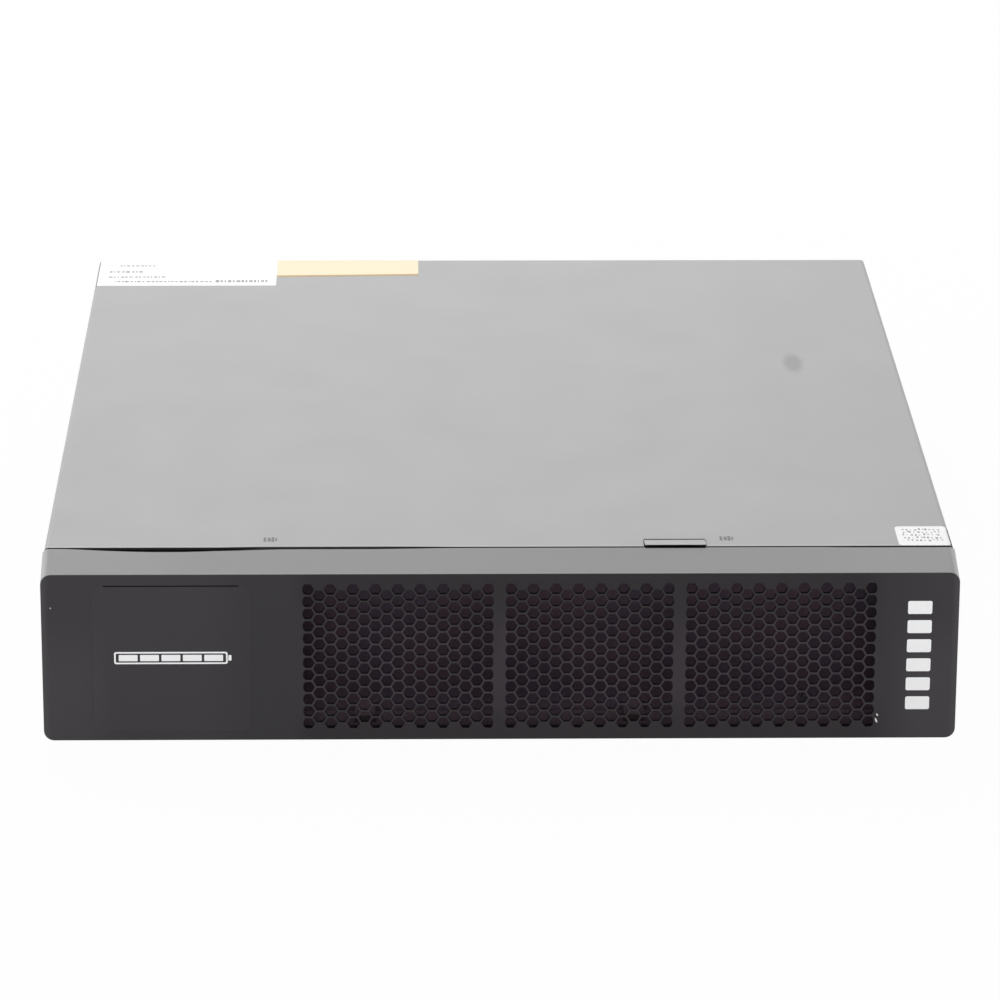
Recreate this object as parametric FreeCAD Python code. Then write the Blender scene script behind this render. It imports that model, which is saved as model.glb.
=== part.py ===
import FreeCAD, Part
import math
import os

from FreeCAD import Vector

# External battery pack for a rack or tower UPS, in millimetres.
# X runs to the right as seen from the front, Y to the rear and Z up.
# The origin is the middle of the footprint, on the surface that the pack stands on.

# Case
case_width = 438.4
case_height = 86.5
case_depth = 489.5        # steel case, from the front edge of the cover to the rear panel
front_depth = 34.5        # face of the front plate to the front edge of the cover
rear_stand = 6.0          # how far the sockets stand out of the rear panel

# Folded sheet
sheet = 1.2
bend = 1.0                # inside radius of a fold
slip = 0.2                # play between pieces that slide or overlap
edge_lift = 0.4           # lower edges of cover, bulkhead and rear panel above the floor
panel_flange = 14.0       # flanges of bulkhead and rear panel
base_flange = 30.0        # side flanges of the base
base_fold = 14.0          # front and rear folds of the base
fold_relief = 3.0         # fold ends kept back from the corners
bulkhead_inset = 1.0      # bulkhead behind the front edge of the cover

# Raised tongue at the front edge of the cover
tongue_x = 84.8
tongue_width = 29.5
tongue_length = 9.7
tongue_rise = 1.7
tongue_slit = 0.3
crease_wide = 1.2         # score line along the hinge of the tongue
crease_deep = 0.6

# Rack-ear holes in the sides
ear_hole_r = 2.25
ear_first = 20.0          # first column of holes behind the front edge of the cover
ear_column = 30.0
ear_row = 50.0
ear_nut_r = 3.75
ear_nut_bore = 2.0
ear_nut_long = 3.5
ear_margin = 10.0         # free sheet between the holes and the side flange of the base

# Countersunk screws of cover and trays
flat_screw_r = 1.95
flat_head_r = 3.6
flat_screw_long = 4.0
tray_screw_long = 3.2
screw_play = 0.15
cover_screw_z = 16.0
cover_screw_margin = 30.0
cover_screw_count = 3     # on each side flange of the base

# Pan-head screws of panels, sockets and board
pan_screw_r = 1.45
pan_head_r = 2.8
pan_head_high = 1.8
panel_screw_z = 8.0
panel_screw_x = 150.0
panel_screw_long = 4.0

# Front plate
bezel_inset = 0.2         # side edges inside the sides of the case
bezel_drop = 1.6          # top edge below the top of the case
bezel_lift = 0.5          # bottom edge above the floor
bezel_corner = 5.0
bezel_thick = 2.4
bezel_edge = 0.3          # rounding of the front edge
rim_thick = 0.6           # rebated rim that lies in front of the frame
skirt_wall = 1.6
skirt_deep = 6.0
rib_wall = 2.0

# Honeycomb grille, in three fields divided by two solid columns
hex_pitch = 6.2126        # between holes of one column
hex_web = 1.0
hex_columns = 51
hex_rows = 12             # holes in a full column; every other column has one fewer
solid_columns = (17, 33)
hex_trim = 0.6            # outer corner cut off along the sides of a field
grille_x = 42.5
grille_z = 43.1

# Blank insert over the display opening
blank_x = -157.0
blank_z = 42.2
blank_width = 76.0
blank_height = 74.6
blank_corner = 5.0
blank_gap = 0.1
blank_edge = 0.15
pry_wide = 64.5           # slot along the top of the insert
pry_deep = 0.6
ledge_in = 1.5
ledge_out = 2.0
ledge_thick = 1.4

# Moulded frame behind the front plate
frame_wall = 2.2
frame_lip = 0.7           # rear edge beyond the sides of the case
frame_seam = 1.5          # open seam between frame and cover
crescent_x = -160.0       # shallow relief in the rear top edge
crescent_chord = 88.0
crescent_deep = 4.3
hook_places = (-190.0, -65.0, 65.0, 190.0)
hook_wide = 10.0
hook_thick = 2.0
hook_drop = 2.0           # arm clear of the wall that carries it
hook_root = 10.0
hook_back = 6.0           # roots kept back from the rear edge of the frame
hook_barb = 1.2
hook_tail = 3.0
hook_play = 0.2

# Battery blocks, lying on their side
block_long = 151.0
block_high = 94.0         # case bottom to lid top, across the pack
block_thick = 65.0
block_corner = 3.0
lid_high = 18.0
lid_seam = 0.6
block_play = 0.5
row_gap = 1.0
block_rows = 3
tab_long = 6.0
tab_wide = 6.3
tab_thick = 0.8
tab_from_end = 12.0
tab_from_side = 10.0

# Trays
tray_sheet = 1.0
tray_wall = 42.0
wire_channel = 15.0       # between the lids of the two columns of blocks
tray_front_gap = 1.0      # between the hooks of the frame and the trays
tray_screw_x = 70.0
tray_screw_y = 180.0
pad_thick = 2.0
pad_play = 1.5
pad_hole_r = 4.5
rail_width = 12.0
rail_height = 40.0
rail_gap = 0.5
foam_wide = 40.0
foam_short = 5.0          # kept back from the bulkhead flange and from the rear wall of the tray

# Leads and receptacles
lead_r = 1.8
lead_bend = 12.0
sleeve_gap = 0.3
sleeve_long = 7.2
sleeve_wide = 8.4
sleeve_high = 5.0
sleeve_play = 0.1
link_straight = 25.0
link_slope = 40.0
lead_straight = 50.0
lead_clear = 5.0          # leads above the rear wall of the tray

# Connector board behind the rear panel
board_width = 262.0
board_low = 18.0
board_rim = 5.6           # board above the upper terminals
board_thick = 1.6
board_margin = 6.0
spacer_long = 10.0
spacer_r = 3.0
terminal_side = 6.4
terminal_long = 8.0
fuse_x = 70.0
fuse_z = 26.0
fuse_long = 38.0
fuse_r = 4.8
ferrule_r = 5.15
ferrule_long = 10.0
clip_wide = 7.0
clip_sheet = 0.6
clip_high = 8.0

# DC sockets
socket_x = 45.0
socket_z = 43.0
socket_wide = 44.0
socket_high = 24.0
socket_corner = 3.0
socket_wall = 4.0
cavity_deep = 13.0
plate_ear = 10.0          # screw plate beyond the sides of the body
plate_lip = 5.0           # screw plate beyond the top and bottom of the body
plate_thick = 3.0
socket_screw_out = 5.0    # screws beyond the sides of the body
blade_wide = 8.0
blade_thick = 1.6
blade_step = 16.0
blade_reach = 6.0

# Rear air slots, one field at each side
slot_width = 3.5
slot_height = 44.0
slot_pitch = 9.0
slot_count = 7
slot_field_x = 174.0

# Earth point on the rear panel
earth_x = 100.0
earth_z = 43.0
earth_r = 2.45
earth_head_r = 4.6
earth_head_high = 3.2
earth_washer_r = 5.0
earth_washer_thick = 1.2
earth_nut_r = 4.6
earth_nut_high = 4.0
earth_tail = 1.5

# Places that follow from the sizes
y_face = -(front_depth + case_depth + rear_stand) / 2
y_case = y_face + front_depth
y_back = y_case + case_depth
z_roof = case_height - sheet
case_half = case_width / 2
base_half = case_half - sheet - slip
y_bulkhead = y_case + bulkhead_inset
y_fold = y_bulkhead + sheet
bezel_width = case_width - 2 * bezel_inset
bezel_top = case_height - bezel_drop
flange_start = y_case + ear_first + ear_column + ear_margin
flange_stop = y_back - panel_flange - fold_relief
ear_z = case_height / 2
pan_hole_r = pan_screw_r + screw_play
tray_width = 2 * (block_high + block_play + tray_sheet) + wire_channel
tray_long = block_rows * block_long + (block_rows - 1) * row_gap + 2 * (block_play + tray_sheet)
tray_offset = rail_width / 2 + rail_gap + tray_width / 2
y_tray = y_fold + hook_play + hook_tail + tray_front_gap
z_block = sheet + tray_sheet + pad_thick
y_board = y_back - sheet - spacer_long - board_thick
y_terminal = y_board - terminal_long
lane = sleeve_gap + sleeve_long / 2
z_low = z_block + tab_from_side
z_high = z_block + block_thick - tab_from_side
z_exit = sheet + tray_wall + lead_clear + lead_r
board_top = z_high + terminal_side / 2 + board_rim
board_height = board_top - board_low
board_z = (board_top + board_low) / 2
plate_wide = socket_wide + 2 * plate_ear
plate_high = socket_high + 2 * plate_lip
socket_screw_x = socket_wide / 2 + socket_screw_out
column_step = hex_pitch * math.sqrt(3) / 2
tray_sides = {"left": -1, "right": 1}
LONG = Vector(0, 1, 0)
UP = Vector(0, 0, 1)


def in_xz(y):
    """Place a flat point (u, v) at x = u, z = v."""
    return lambda point: Vector(point.x, y, point.y)


def in_xy(z):
    """Place a flat point (u, v) at x = u, y = v."""
    return lambda point: Vector(point.x, point.y, z)


def in_yz(x):
    """Place a flat point (u, v) at y = u, z = v."""
    return lambda point: Vector(x, point.x, point.y)


def outline(corners, place):
    """Closed wire through corners (u, v, radius), rounded where the radius is not zero."""
    points = [Vector(u, v, 0) for u, v, radius in corners]
    turns = []
    for index, point in enumerate(points):
        radius = corners[index][2]
        back = (points[index - 1] - point).normalize()
        ahead = (points[(index + 1) % len(points)] - point).normalize()
        half = back.getAngle(ahead) / 2
        reach = radius / math.tan(half)
        middle = point
        if radius:
            middle = point + (back + ahead).normalize() * (radius / math.sin(half) - radius)
        turns.append((point + back * reach, middle, point + ahead * reach, radius))
    edges = []
    for index, (start, middle, stop, radius) in enumerate(turns):
        if radius:
            edges.append(Part.Arc(place(start), place(middle), place(stop)).toShape())
        following = turns[(index + 1) % len(turns)][0]
        if not stop.isEqual(following, 1e-6):
            edges.append(Part.LineSegment(place(stop), place(following)).toShape())
    return Part.Wire(edges)


def prism(corners, place, way):
    """Solid swept straight from a flat outline."""
    return Part.Face(outline(corners, place)).extrude(way)


def rectangle(u, v, width, height, corner):
    """Corners of a rounded rectangle about (u, v)."""
    left = u - width / 2
    right = u + width / 2
    low = v - height / 2
    high = v + height / 2
    return [(left, low, corner), (right, low, corner), (right, high, corner), (left, high, corner)]


def box(x_low, x_high, y_low, y_high, z_low_side, z_high_side):
    """Box between two corners."""
    size = (x_high - x_low, y_high - y_low, z_high_side - z_low_side)
    return Part.makeBox(*size, Vector(x_low, y_low, z_low_side))


def channel(half_width, height, gauge):
    """Corners of a folded channel whose web lies along v = 0 and which opens upwards."""
    outer = bend + gauge
    inside = half_width - gauge
    return [
        (-half_width, height, 0),
        (-half_width, 0, outer),
        (half_width, 0, outer),
        (half_width, height, 0),
        (inside, height, 0),
        (inside, gauge, bend),
        (-inside, gauge, bend),
        (-inside, height, 0),
    ]


def angle(leg, rise, gauge):
    """Corners of a folded angle: a leg along v = 0 and a rise along u = 0."""
    return [
        (0, rise, 0),
        (0, 0, bend + gauge),
        (leg, 0, 0),
        (leg, gauge, 0),
        (gauge, gauge, bend),
        (gauge, rise, 0),
    ]


def fused(shapes):
    """One clean solid from overlapping or touching ones."""
    return shapes[0].multiFuse(shapes[1:]).removeSplitter()


def spread(count, first, last):
    """Evenly spaced places from first to last."""
    return [first + (last - first) * index / (count - 1) for index in range(count)]


def flat_screw(point, way, length, play):
    """Countersunk screw, or its hole where play widens it, with its head flush at point."""
    head = Part.makeCone(flat_head_r + play, flat_screw_r + play, sheet, point, way)
    shank = Part.makeCylinder(flat_screw_r + play, length, point, way)
    return head.fuse(shank)


def pan_screw(point, way, length):
    """Pan-head screw whose head rests at point and whose shank runs along way."""
    rise = pan_head_high / 2
    flank = Part.makeCylinder(pan_head_r, rise, point, way * -1)
    crown = Part.makeCone(pan_head_r, pan_head_r - rise, rise, point - way * rise, way * -1)
    return flank.multiFuse([crown, Part.makeCylinder(pan_screw_r, length, point, way)])


def cover_screw_places():
    """Distances along Y of the countersunk screws on one side."""
    flange_middle = panel_flange / 2
    first = flange_start + cover_screw_margin
    last = flange_stop - cover_screw_margin
    along_base = spread(cover_screw_count, first, last)
    return [y_bulkhead + flange_middle, *along_base, y_back - flange_middle]


def cover_screw_shapes(play):
    """Screws of both sides, or their holes."""
    shapes = []
    for side in (-1, 1):
        for y in cover_screw_places():
            point = Vector(side * case_half, y, cover_screw_z)
            shapes.append(flat_screw(point, Vector(-side, 0, 0), flat_screw_long, play))
    return shapes


def tray_screw_shapes(length, play):
    """Screws up through the base into the trays, or their holes."""
    shapes = []
    y_middle = y_tray + tray_long / 2
    for side in tray_sides.values():
        for x in (-tray_screw_x, tray_screw_x):
            for y in (-tray_screw_y, tray_screw_y):
                point = Vector(side * tray_offset + x, y_middle + y, 0)
                shapes.append(flat_screw(point, UP, length, play))
    return shapes


def panel_screw_points():
    """Head seats and directions of the screws that hold bulkhead and rear panel to the base folds."""
    places = []
    for x in (-panel_screw_x, 0, panel_screw_x):
        places.append((Vector(x, y_bulkhead, panel_screw_z), LONG))
        places.append((Vector(x, y_back, panel_screw_z), LONG * -1))
    return places


def panel_screw_holes():
    """Clearance through panel and fold for those screws."""
    holes = []
    for point, way in panel_screw_points():
        holes.append(Part.makeCylinder(pan_hole_r, 2 * sheet + slip, point, way))
    return holes


def hook_heights():
    """Inner wall at the rear, inward direction and taper to the front of the walls that carry hooks."""
    upper = (case_height - frame_wall, -1, bezel_drop)
    lower = (edge_lift + frame_wall, 1, bezel_lift - edge_lift)
    return upper, lower


def make_base_pan():
    """Floor with side flanges and with front and rear folds."""
    folded = channel(base_half, base_flange, sheet)
    sides = prism(folded, in_xz(flange_start), LONG * (flange_stop - flange_start))
    fold_half = base_half - fold_relief
    y_rear = y_back - sheet
    floor_front = prism(
        angle(flange_start - y_fold, base_fold, sheet),
        lambda point: Vector(-fold_half, y_fold + point.x, point.y),
        Vector(2 * fold_half, 0, 0),
    )
    floor_rear = prism(
        angle(y_rear - flange_stop, base_fold, sheet),
        lambda point: Vector(-fold_half, y_rear - point.x, point.y),
        Vector(2 * fold_half, 0, 0),
    )
    outer = bend + sheet
    wide_front = box(-base_half, base_half, y_fold + outer, flange_start, 0, sheet)
    wide_rear = box(-base_half, base_half, flange_stop, y_rear - outer, 0, sheet)
    pan = fused([sides, floor_front, floor_rear, wide_front, wide_rear])
    notches = []
    for x in hook_places:
        half = hook_wide / 2 + fold_relief
        notches.append(box(x - half, x + half, y_fold, y_fold + sheet, sheet + bend, base_fold))
    holes = cover_screw_shapes(screw_play) + tray_screw_shapes(tray_screw_long, screw_play)
    return pan.cut(notches + holes + panel_screw_holes())


def make_top_cover():
    """Top and both sides in one folded sheet, with a scored and raised tongue at the front edge."""
    folded = prism(
        channel(case_half, case_height - edge_lift, sheet),
        lambda point: Vector(point.x, y_case, case_height - point.y),
        LONG * case_depth,
    )
    half = tongue_width / 2
    y_hinge = y_case + tongue_length
    opening = box(
        tongue_x - half - tongue_slit, tongue_x + half + tongue_slit, y_case, y_hinge, z_roof, case_height
    )
    tongue = prism(
        [
            (y_hinge + sheet, z_roof, 0),
            (y_hinge + sheet, case_height, 0),
            (y_hinge, case_height, 0),
            (y_case, case_height + tongue_rise, 0),
            (y_case, z_roof + tongue_rise, 0),
            (y_hinge, z_roof, 0),
        ],
        in_yz(tongue_x - half),
        Vector(tongue_width, 0, 0),
    )
    ear_holes = []
    for y, z in ear_points():
        start = Vector(-case_half, y, z)
        ear_holes.append(Part.makeCylinder(ear_hole_r, case_width, start, Vector(1, 0, 0)))
    crease = box(
        tongue_x - half,
        tongue_x + half,
        y_hinge - crease_wide / 2,
        y_hinge + crease_wide / 2,
        case_height - crease_deep,
        case_height + tongue_rise,
    )
    cover = fused([folded.cut(opening), tongue])
    return cover.cut([crease, *ear_holes, *cover_screw_shapes(screw_play)])


def ear_points():
    """Places (y, z) of the rack-ear holes of one side."""
    columns = (y_case + ear_first, y_case + ear_first + ear_column)
    return [(y, ear_z + row * ear_row / 2) for y in columns for row in (-1, 1)]


def make_ear_nuts():
    """Clinch nuts on the inner faces of both sides, one behind each rack-ear hole."""
    nuts = []
    for side in (-1, 1):
        for y, z in ear_points():
            start = Vector(side * (case_half - sheet), y, z)
            way = Vector(-side, 0, 0)
            nut = Part.makeCylinder(ear_nut_r, ear_nut_long, start, way)
            nuts.append(nut.cut(Part.makeCylinder(ear_nut_bore, ear_nut_long, start, way)))
    return Part.makeCompound(nuts)


def flanged_panel(y_outer, facing):
    """Panel whose top and side flanges run along facing; the side flanges stand on the floor."""
    outer = bend + sheet
    upright = prism(
        channel(base_half, panel_flange, sheet),
        lambda point: Vector(point.x, y_outer + facing * point.y, sheet),
        UP * (z_roof - outer - sheet),
    )
    top_half = base_half - outer
    roof_fold = prism(
        angle(panel_flange, z_roof - edge_lift, sheet),
        lambda point: Vector(-top_half, y_outer + facing * point.x, z_roof - point.y),
        Vector(2 * top_half, 0, 0),
    )
    return fused([upright, roof_fold]).cut(panel_screw_holes() + cover_screw_shapes(screw_play))


def make_front_bulkhead():
    """Front wall of the case with slots for the hooks of the frame."""
    panel = flanged_panel(y_bulkhead, 1)
    cuts = []
    half = hook_wide / 2 + hook_play
    for wall_z, inward, taper in hook_heights():
        near = wall_z + inward * (hook_drop - hook_play)
        far = wall_z + inward * (hook_drop + hook_thick + hook_play)
        for x in hook_places:
            cuts.append(box(x - half, x + half, y_bulkhead, y_fold, min(near, far), max(near, far)))
    return panel.cut(cuts)


def make_rear_panel():
    """Rear wall with air slots, socket windows and screw holes."""
    panel = flanged_panel(y_back, -1)
    into = LONG * -sheet
    cuts = []
    for side in (-1, 1):
        half_field = (slot_count - 1) * slot_pitch / 2
        for x in spread(slot_count, -half_field, half_field):
            slot_x = side * slot_field_x + x
            slot = rectangle(slot_x, socket_z, slot_width, slot_height, slot_width / 2 - slip)
            cuts.append(prism(slot, in_xz(y_back), into))
        window = rectangle(
            side * socket_x, socket_z, socket_wide + 2 * slip, socket_high + 2 * slip, socket_corner
        )
        cuts.append(prism(window, in_xz(y_back), into))
    for x, z in socket_screw_points() + board_screw_points():
        cuts.append(Part.makeCylinder(pan_hole_r, sheet, Vector(x, y_back, z), LONG * -1))
    earth = Vector(earth_x, y_back, earth_z)
    cuts.append(Part.makeCylinder(earth_r + screw_play, sheet, earth, LONG * -1))
    return panel.cut(cuts)


def make_front_frame():
    """Moulded frame that grows from the rounded front plate to the folded case, with snap hooks."""
    y_front = y_face + rim_thick
    y_rear = y_case - frame_seam
    front_middle = (bezel_lift + bezel_top) / 2
    rear_middle = (edge_lift + case_height) / 2

    def sleeve(inset):
        """Loft between the two outlines, inset all round."""
        front = rectangle(
            0,
            front_middle,
            bezel_width - 2 * inset,
            bezel_top - bezel_lift - 2 * inset,
            bezel_corner - inset,
        )
        rear = rectangle(
            0,
            rear_middle,
            case_width + 2 * frame_lip - 2 * inset,
            case_height - edge_lift - 2 * inset,
            max(bend + sheet + frame_lip - inset, slip),
        )
        wires = [outline(front, in_xz(y_front)), outline(rear, in_xz(y_rear))]
        return Part.makeLoft(wires, True, True)

    ring = sleeve(0).cut(sleeve(frame_wall))
    hooks = []
    y_catch = y_fold + hook_play
    root_share = (hook_root + hook_back) / (y_rear - y_front)
    for wall_z, inward, taper in hook_heights():
        root = wall_z + inward * (taper * root_share - frame_wall / 2)
        near = wall_z + inward * hook_drop
        far = near + inward * hook_thick
        profile = [
            (y_rear - hook_root - hook_back, root, 0),
            (y_rear - hook_back, root, 0),
            (y_rear - hook_back, near, 0),
            (y_catch + hook_tail, near, 0),
            (y_catch + hook_tail, far, 0),
            (y_catch + hook_tail / 3, far + inward * hook_barb, 0),
            (y_catch, far + inward * hook_barb, 0),
            (y_catch, far, 0),
            (y_rear - hook_root - hook_back, far, 0),
        ]
        for x in hook_places:
            hooks.append(prism(profile, in_yz(x - hook_wide / 2), Vector(hook_wide, 0, 0)))
    half_chord = crescent_chord / 2
    crescent_r = (half_chord**2 + crescent_deep**2) / (2 * crescent_deep)
    centre = Vector(crescent_x, y_rear - crescent_deep + crescent_r, case_height - 2 * frame_wall)
    crescent = Part.makeCylinder(crescent_r, 3 * frame_wall, centre, UP)
    return fused([ring.cut(crescent), *hooks])


def field_columns():
    """First and last column of each field of the grille."""
    bounds = [-1, *solid_columns, hex_columns]
    return [(bounds[index] + 1, bounds[index + 1] - 1) for index in range(len(bounds) - 1)]


def column_x(column):
    """Middle of a grille column."""
    return grille_x + (column - (hex_columns - 1) / 2) * column_step


def hexagon(x, z, trim_left, trim_right):
    """Corners of one grille hole, flat at top and bottom, with an outer corner cut off where asked."""
    half_flat = (hex_pitch - hex_web) / 2
    radius = half_flat / math.cos(math.pi / 6)
    corners = []
    for step in range(6):
        turn = step * math.pi / 3
        trimmed = (step == 0 and trim_right) or (step == 3 and trim_left)
        if not trimmed:
            corners.append((x + radius * math.cos(turn), z + radius * math.sin(turn), 0))
            continue
        outward = 1 if step == 0 else -1
        rise = outward * hex_trim * math.tan(math.pi / 3)
        cut_x = x + outward * (radius - hex_trim)
        corners.append((cut_x, z - rise, 0))
        corners.append((cut_x, z + rise, 0))
    return corners


def grille_holes():
    """Corner lists of every hole of the grille."""
    holes = []
    for first, last in field_columns():
        for column in range(first, last + 1):
            rows = hex_rows - column % 2
            half_rise = (rows - 1) * hex_pitch / 2
            for z in spread(rows, grille_z - half_rise, grille_z + half_rise):
                holes.append(hexagon(column_x(column), z, column == first, column == last))
    return holes


def make_front_bezel():
    """Front plate with the honeycomb, the display opening, a rebated rim, a skirt and stiffening ribs."""
    width = bezel_width
    height = bezel_top - bezel_lift
    middle = (bezel_top + bezel_lift) / 2
    front = in_xz(y_face)
    blank = rectangle(blank_x, blank_z, blank_width, blank_height, blank_corner)
    wires = [outline(rectangle(0, middle, width, height, bezel_corner), front), outline(blank, front)]
    wires += [outline(corners, front) for corners in grille_holes()]
    plate = Part.makeFace(wires, "Part::FaceMakerBullseye").extrude(LONG * bezel_thick)
    rim = [edge for edge in plate.Edges if on_front_rim(edge, width, height, middle)]
    plate = plate.makeFillet(bezel_edge, rim)

    inset = frame_wall + slip
    skirt = rectangle(0, middle, width - 2 * inset, height - 2 * inset, bezel_corner - inset)
    beyond = rectangle(0, middle, width + 2 * slip, height + 2 * slip, bezel_corner)
    step = in_xz(y_face + rim_thick)
    step_deep = LONG * (bezel_thick - rim_thick)
    plate = plate.cut(prism(beyond, step, step_deep).cut(prism(skirt, step, step_deep)))

    back = in_xz(y_face + bezel_thick)
    deep = inset + skirt_wall
    hollow = rectangle(0, middle, width - 2 * deep, height - 2 * deep, slip)
    skirt_ring = prism(skirt, back, LONG * skirt_deep).cut(prism(hollow, back, LONG * skirt_deep))

    def grown_blank(margin):
        """Block behind the display opening, grown by a margin all round."""
        corners = rectangle(
            blank_x, blank_z, blank_width + 2 * margin, blank_height + 2 * margin, blank_corner
        )
        return prism(corners, back, LONG * ledge_thick)

    ledge_ring = grown_blank(ledge_out).cut(grown_blank(-ledge_in))
    ribs = []
    for column in solid_columns:
        bar = rectangle(column_x(column), middle, rib_wall, height - 2 * inset - skirt_wall, 0)
        ribs.append(prism(bar, back, LONG * skirt_deep))
    return plate.multiFuse([skirt_ring, ledge_ring, *ribs])


def on_front_rim(edge, width, height, middle):
    """Whether an edge of the plate lies on the outer rim of its front face."""
    point = edge.valueAt((edge.FirstParameter + edge.LastParameter) / 2)
    across = abs(point.x) > width / 2 - bezel_corner
    upright = abs(point.z - middle) > height / 2 - bezel_corner
    at_front = all(abs(vertex.Y - y_face) < 1e-6 for vertex in edge.Vertexes)
    return at_front and (across or upright)


def make_display_blank():
    """Flat insert that closes the display opening and rests on its ledge, with a pry slot at the top."""
    corners = rectangle(
        blank_x, blank_z, blank_width - 2 * blank_gap, blank_height - 2 * blank_gap, blank_corner - blank_gap
    )
    plate = prism(corners, in_xz(y_face), LONG * bezel_thick)
    rim = [edge for edge in plate.Edges if all(abs(vertex.Y - y_face) < 1e-6 for vertex in edge.Vertexes)]
    top = blank_z + blank_height / 2 - blank_gap
    slot = rectangle(blank_x, top, pry_wide, 2 * (pry_deep - blank_gap), 0)
    return plate.makeFillet(blank_edge, rim).cut(prism(slot, in_xz(y_face), LONG * bezel_thick))


def make_tray(side):
    """Folded tray with side and end walls."""
    middle = side * tray_offset
    half = tray_width / 2
    trough = prism(
        channel(half, tray_wall, tray_sheet),
        lambda point: Vector(middle + point.x, y_tray, sheet + point.y),
        LONG * tray_long,
    )
    end_half = half - tray_sheet - bend - slip
    ends = []
    for y in (y_tray, y_tray + tray_long - tray_sheet):
        ends.append(box(middle - end_half, middle + end_half, y, y + tray_sheet, sheet, sheet + tray_wall))
    return fused([trough, *ends]).cut(tray_screw_shapes(tray_screw_long, screw_play))


def make_tray_pad(side):
    """Foam sheet between the tray and its blocks, open over the tray screws."""
    middle = side * tray_offset
    floor = rectangle(
        middle,
        y_tray + tray_long / 2,
        tray_width - 2 * (tray_sheet + pad_play),
        tray_long - 2 * (tray_sheet + pad_play),
        0,
    )
    pad = prism(floor, in_xy(sheet + tray_sheet), UP * pad_thick)
    holes = []
    for screw in tray_screw_shapes(tray_screw_long, 0):
        centre = screw.BoundBox.Center
        holes.append(Part.makeCylinder(pad_hole_r, z_block, Vector(centre.x, centre.y, 0), UP))
    return pad.cut(holes)


def block_places():
    """Tray side, column direction, row and lid face x of every block, in order."""
    places = []
    for side in tray_sides.values():
        for column in (-1, 1):
            for row in range(block_rows):
                lid_x = side * tray_offset + column * wire_channel / 2
                places.append((side, column, row, lid_x))
    return places


def row_start(row):
    """Front end of a row of blocks."""
    return y_tray + tray_sheet + block_play + row * (block_long + row_gap)


def make_block(column, row, lid_x):
    """Sealed block: case, seam and lid."""
    middle_y = row_start(row) + block_long / 2
    middle_z = z_block + block_thick / 2

    def slab(near, far, inset):
        """Rounded slab between two distances from the lid top."""
        corners = rectangle(
            middle_y, middle_z, block_long - 2 * inset, block_thick - 2 * inset, block_corner - inset
        )
        return prism(corners, in_yz(lid_x + column * near), Vector(column * (far - near), 0, 0))

    seam_end = lid_high + lid_seam
    return fused([slab(0, lid_high, 0), slab(lid_high, seam_end, lid_seam), slab(seam_end, block_high, 0)])


def tab_places():
    """Lid face x, inward direction, y and z of every terminal tab."""
    places = []
    for side, column, row, lid_x in block_places():
        from_front = tab_from_end if column < 0 else block_long - tab_from_end
        for z in (z_low, z_high):
            places.append((lid_x, -column, row_start(row) + from_front, z))
    return places


def make_battery_tabs():
    """Flat terminal tabs of all blocks."""
    tabs = []
    for lid_x, inward, y, z in tab_places():
        corners = rectangle(y, z, tab_wide, tab_thick, 0)
        tabs.append(prism(corners, in_yz(lid_x), Vector(inward * tab_long, 0, 0)))
    return Part.makeCompound(tabs)


def make_tab_sleeves():
    """Insulated receptacles pushed over the tabs."""
    sleeves = []
    for lid_x, inward, y, z in tab_places():
        start = lid_x + inward * sleeve_gap
        block = rectangle(y, z, sleeve_wide, sleeve_high, 0)
        body = prism(block, in_yz(start), Vector(inward * sleeve_long, 0, 0))
        room = rectangle(y, z, tab_wide + 2 * sleeve_play, tab_thick + 2 * sleeve_play, 0)
        depth = tab_long - sleeve_gap + sleeve_play
        sleeves.append(body.cut(prism(room, in_yz(start), Vector(inward * depth, 0, 0))))
    return Part.makeCompound(sleeves)


def lead(points):
    """Round lead along straight runs joined by tangent arcs."""
    edges = []
    start = points[0]
    for before, corner, after in zip(points, points[1:], points[2:]):
        back = (before - corner).normalize()
        ahead = (after - corner).normalize()
        half = back.getAngle(ahead) / 2
        entry = corner + back * (lead_bend / math.tan(half))
        leave = corner + ahead * (lead_bend / math.tan(half))
        middle = corner + (back + ahead).normalize() * (lead_bend / math.sin(half) - lead_bend)
        edges.append(Part.LineSegment(start, entry).toShape())
        edges.append(Part.Arc(entry, middle, leave).toShape())
        start = leave
    edges.append(Part.LineSegment(start, points[-1]).toShape())
    path = Part.Wire(edges)
    section = Part.Wire(Part.Circle(points[0], points[1] - points[0], lead_r).toShape())
    return path.makePipeShell([section], True, False)


def lane_x(side, column):
    """Middle of the wire lane in front of the lids of one column."""
    return side * tray_offset + column * (wire_channel / 2 - lane)


def sleeve_y(column, row, toward):
    """Face of a receptacle that looks along toward."""
    from_front = tab_from_end if column < 0 else block_long - tab_from_end
    return row_start(row) + from_front + toward * sleeve_wide / 2


def make_series_links(side):
    """Leads that join the six blocks of a tray in series."""
    links = []
    for column, order in ((-1, range(block_rows - 1, 0, -1)), (1, range(block_rows - 1))):
        for row in order:
            x = lane_x(side, column)
            first = sleeve_y(column, row, column)
            last = sleeve_y(column, row + column, -column)
            points = [
                Vector(x, first, z_high),
                Vector(x, first + column * link_straight, z_high),
                Vector(x, first + column * (link_straight + link_slope), z_low),
                Vector(x, last, z_low),
            ]
            links.append(lead(points))
    left = lane_x(side, -1)
    right = lane_x(side, 1)
    first = sleeve_y(-1, 0, 1)
    last = sleeve_y(1, 0, -1)
    crossing = [
        Vector(left, first, z_high),
        Vector(left, first + link_straight, z_high),
        Vector(right, last - link_straight - link_slope, z_high),
        Vector(right, last - link_straight, z_low),
        Vector(right, last, z_low),
    ]
    links.append(lead(crossing))
    return Part.makeCompound(links)


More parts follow.
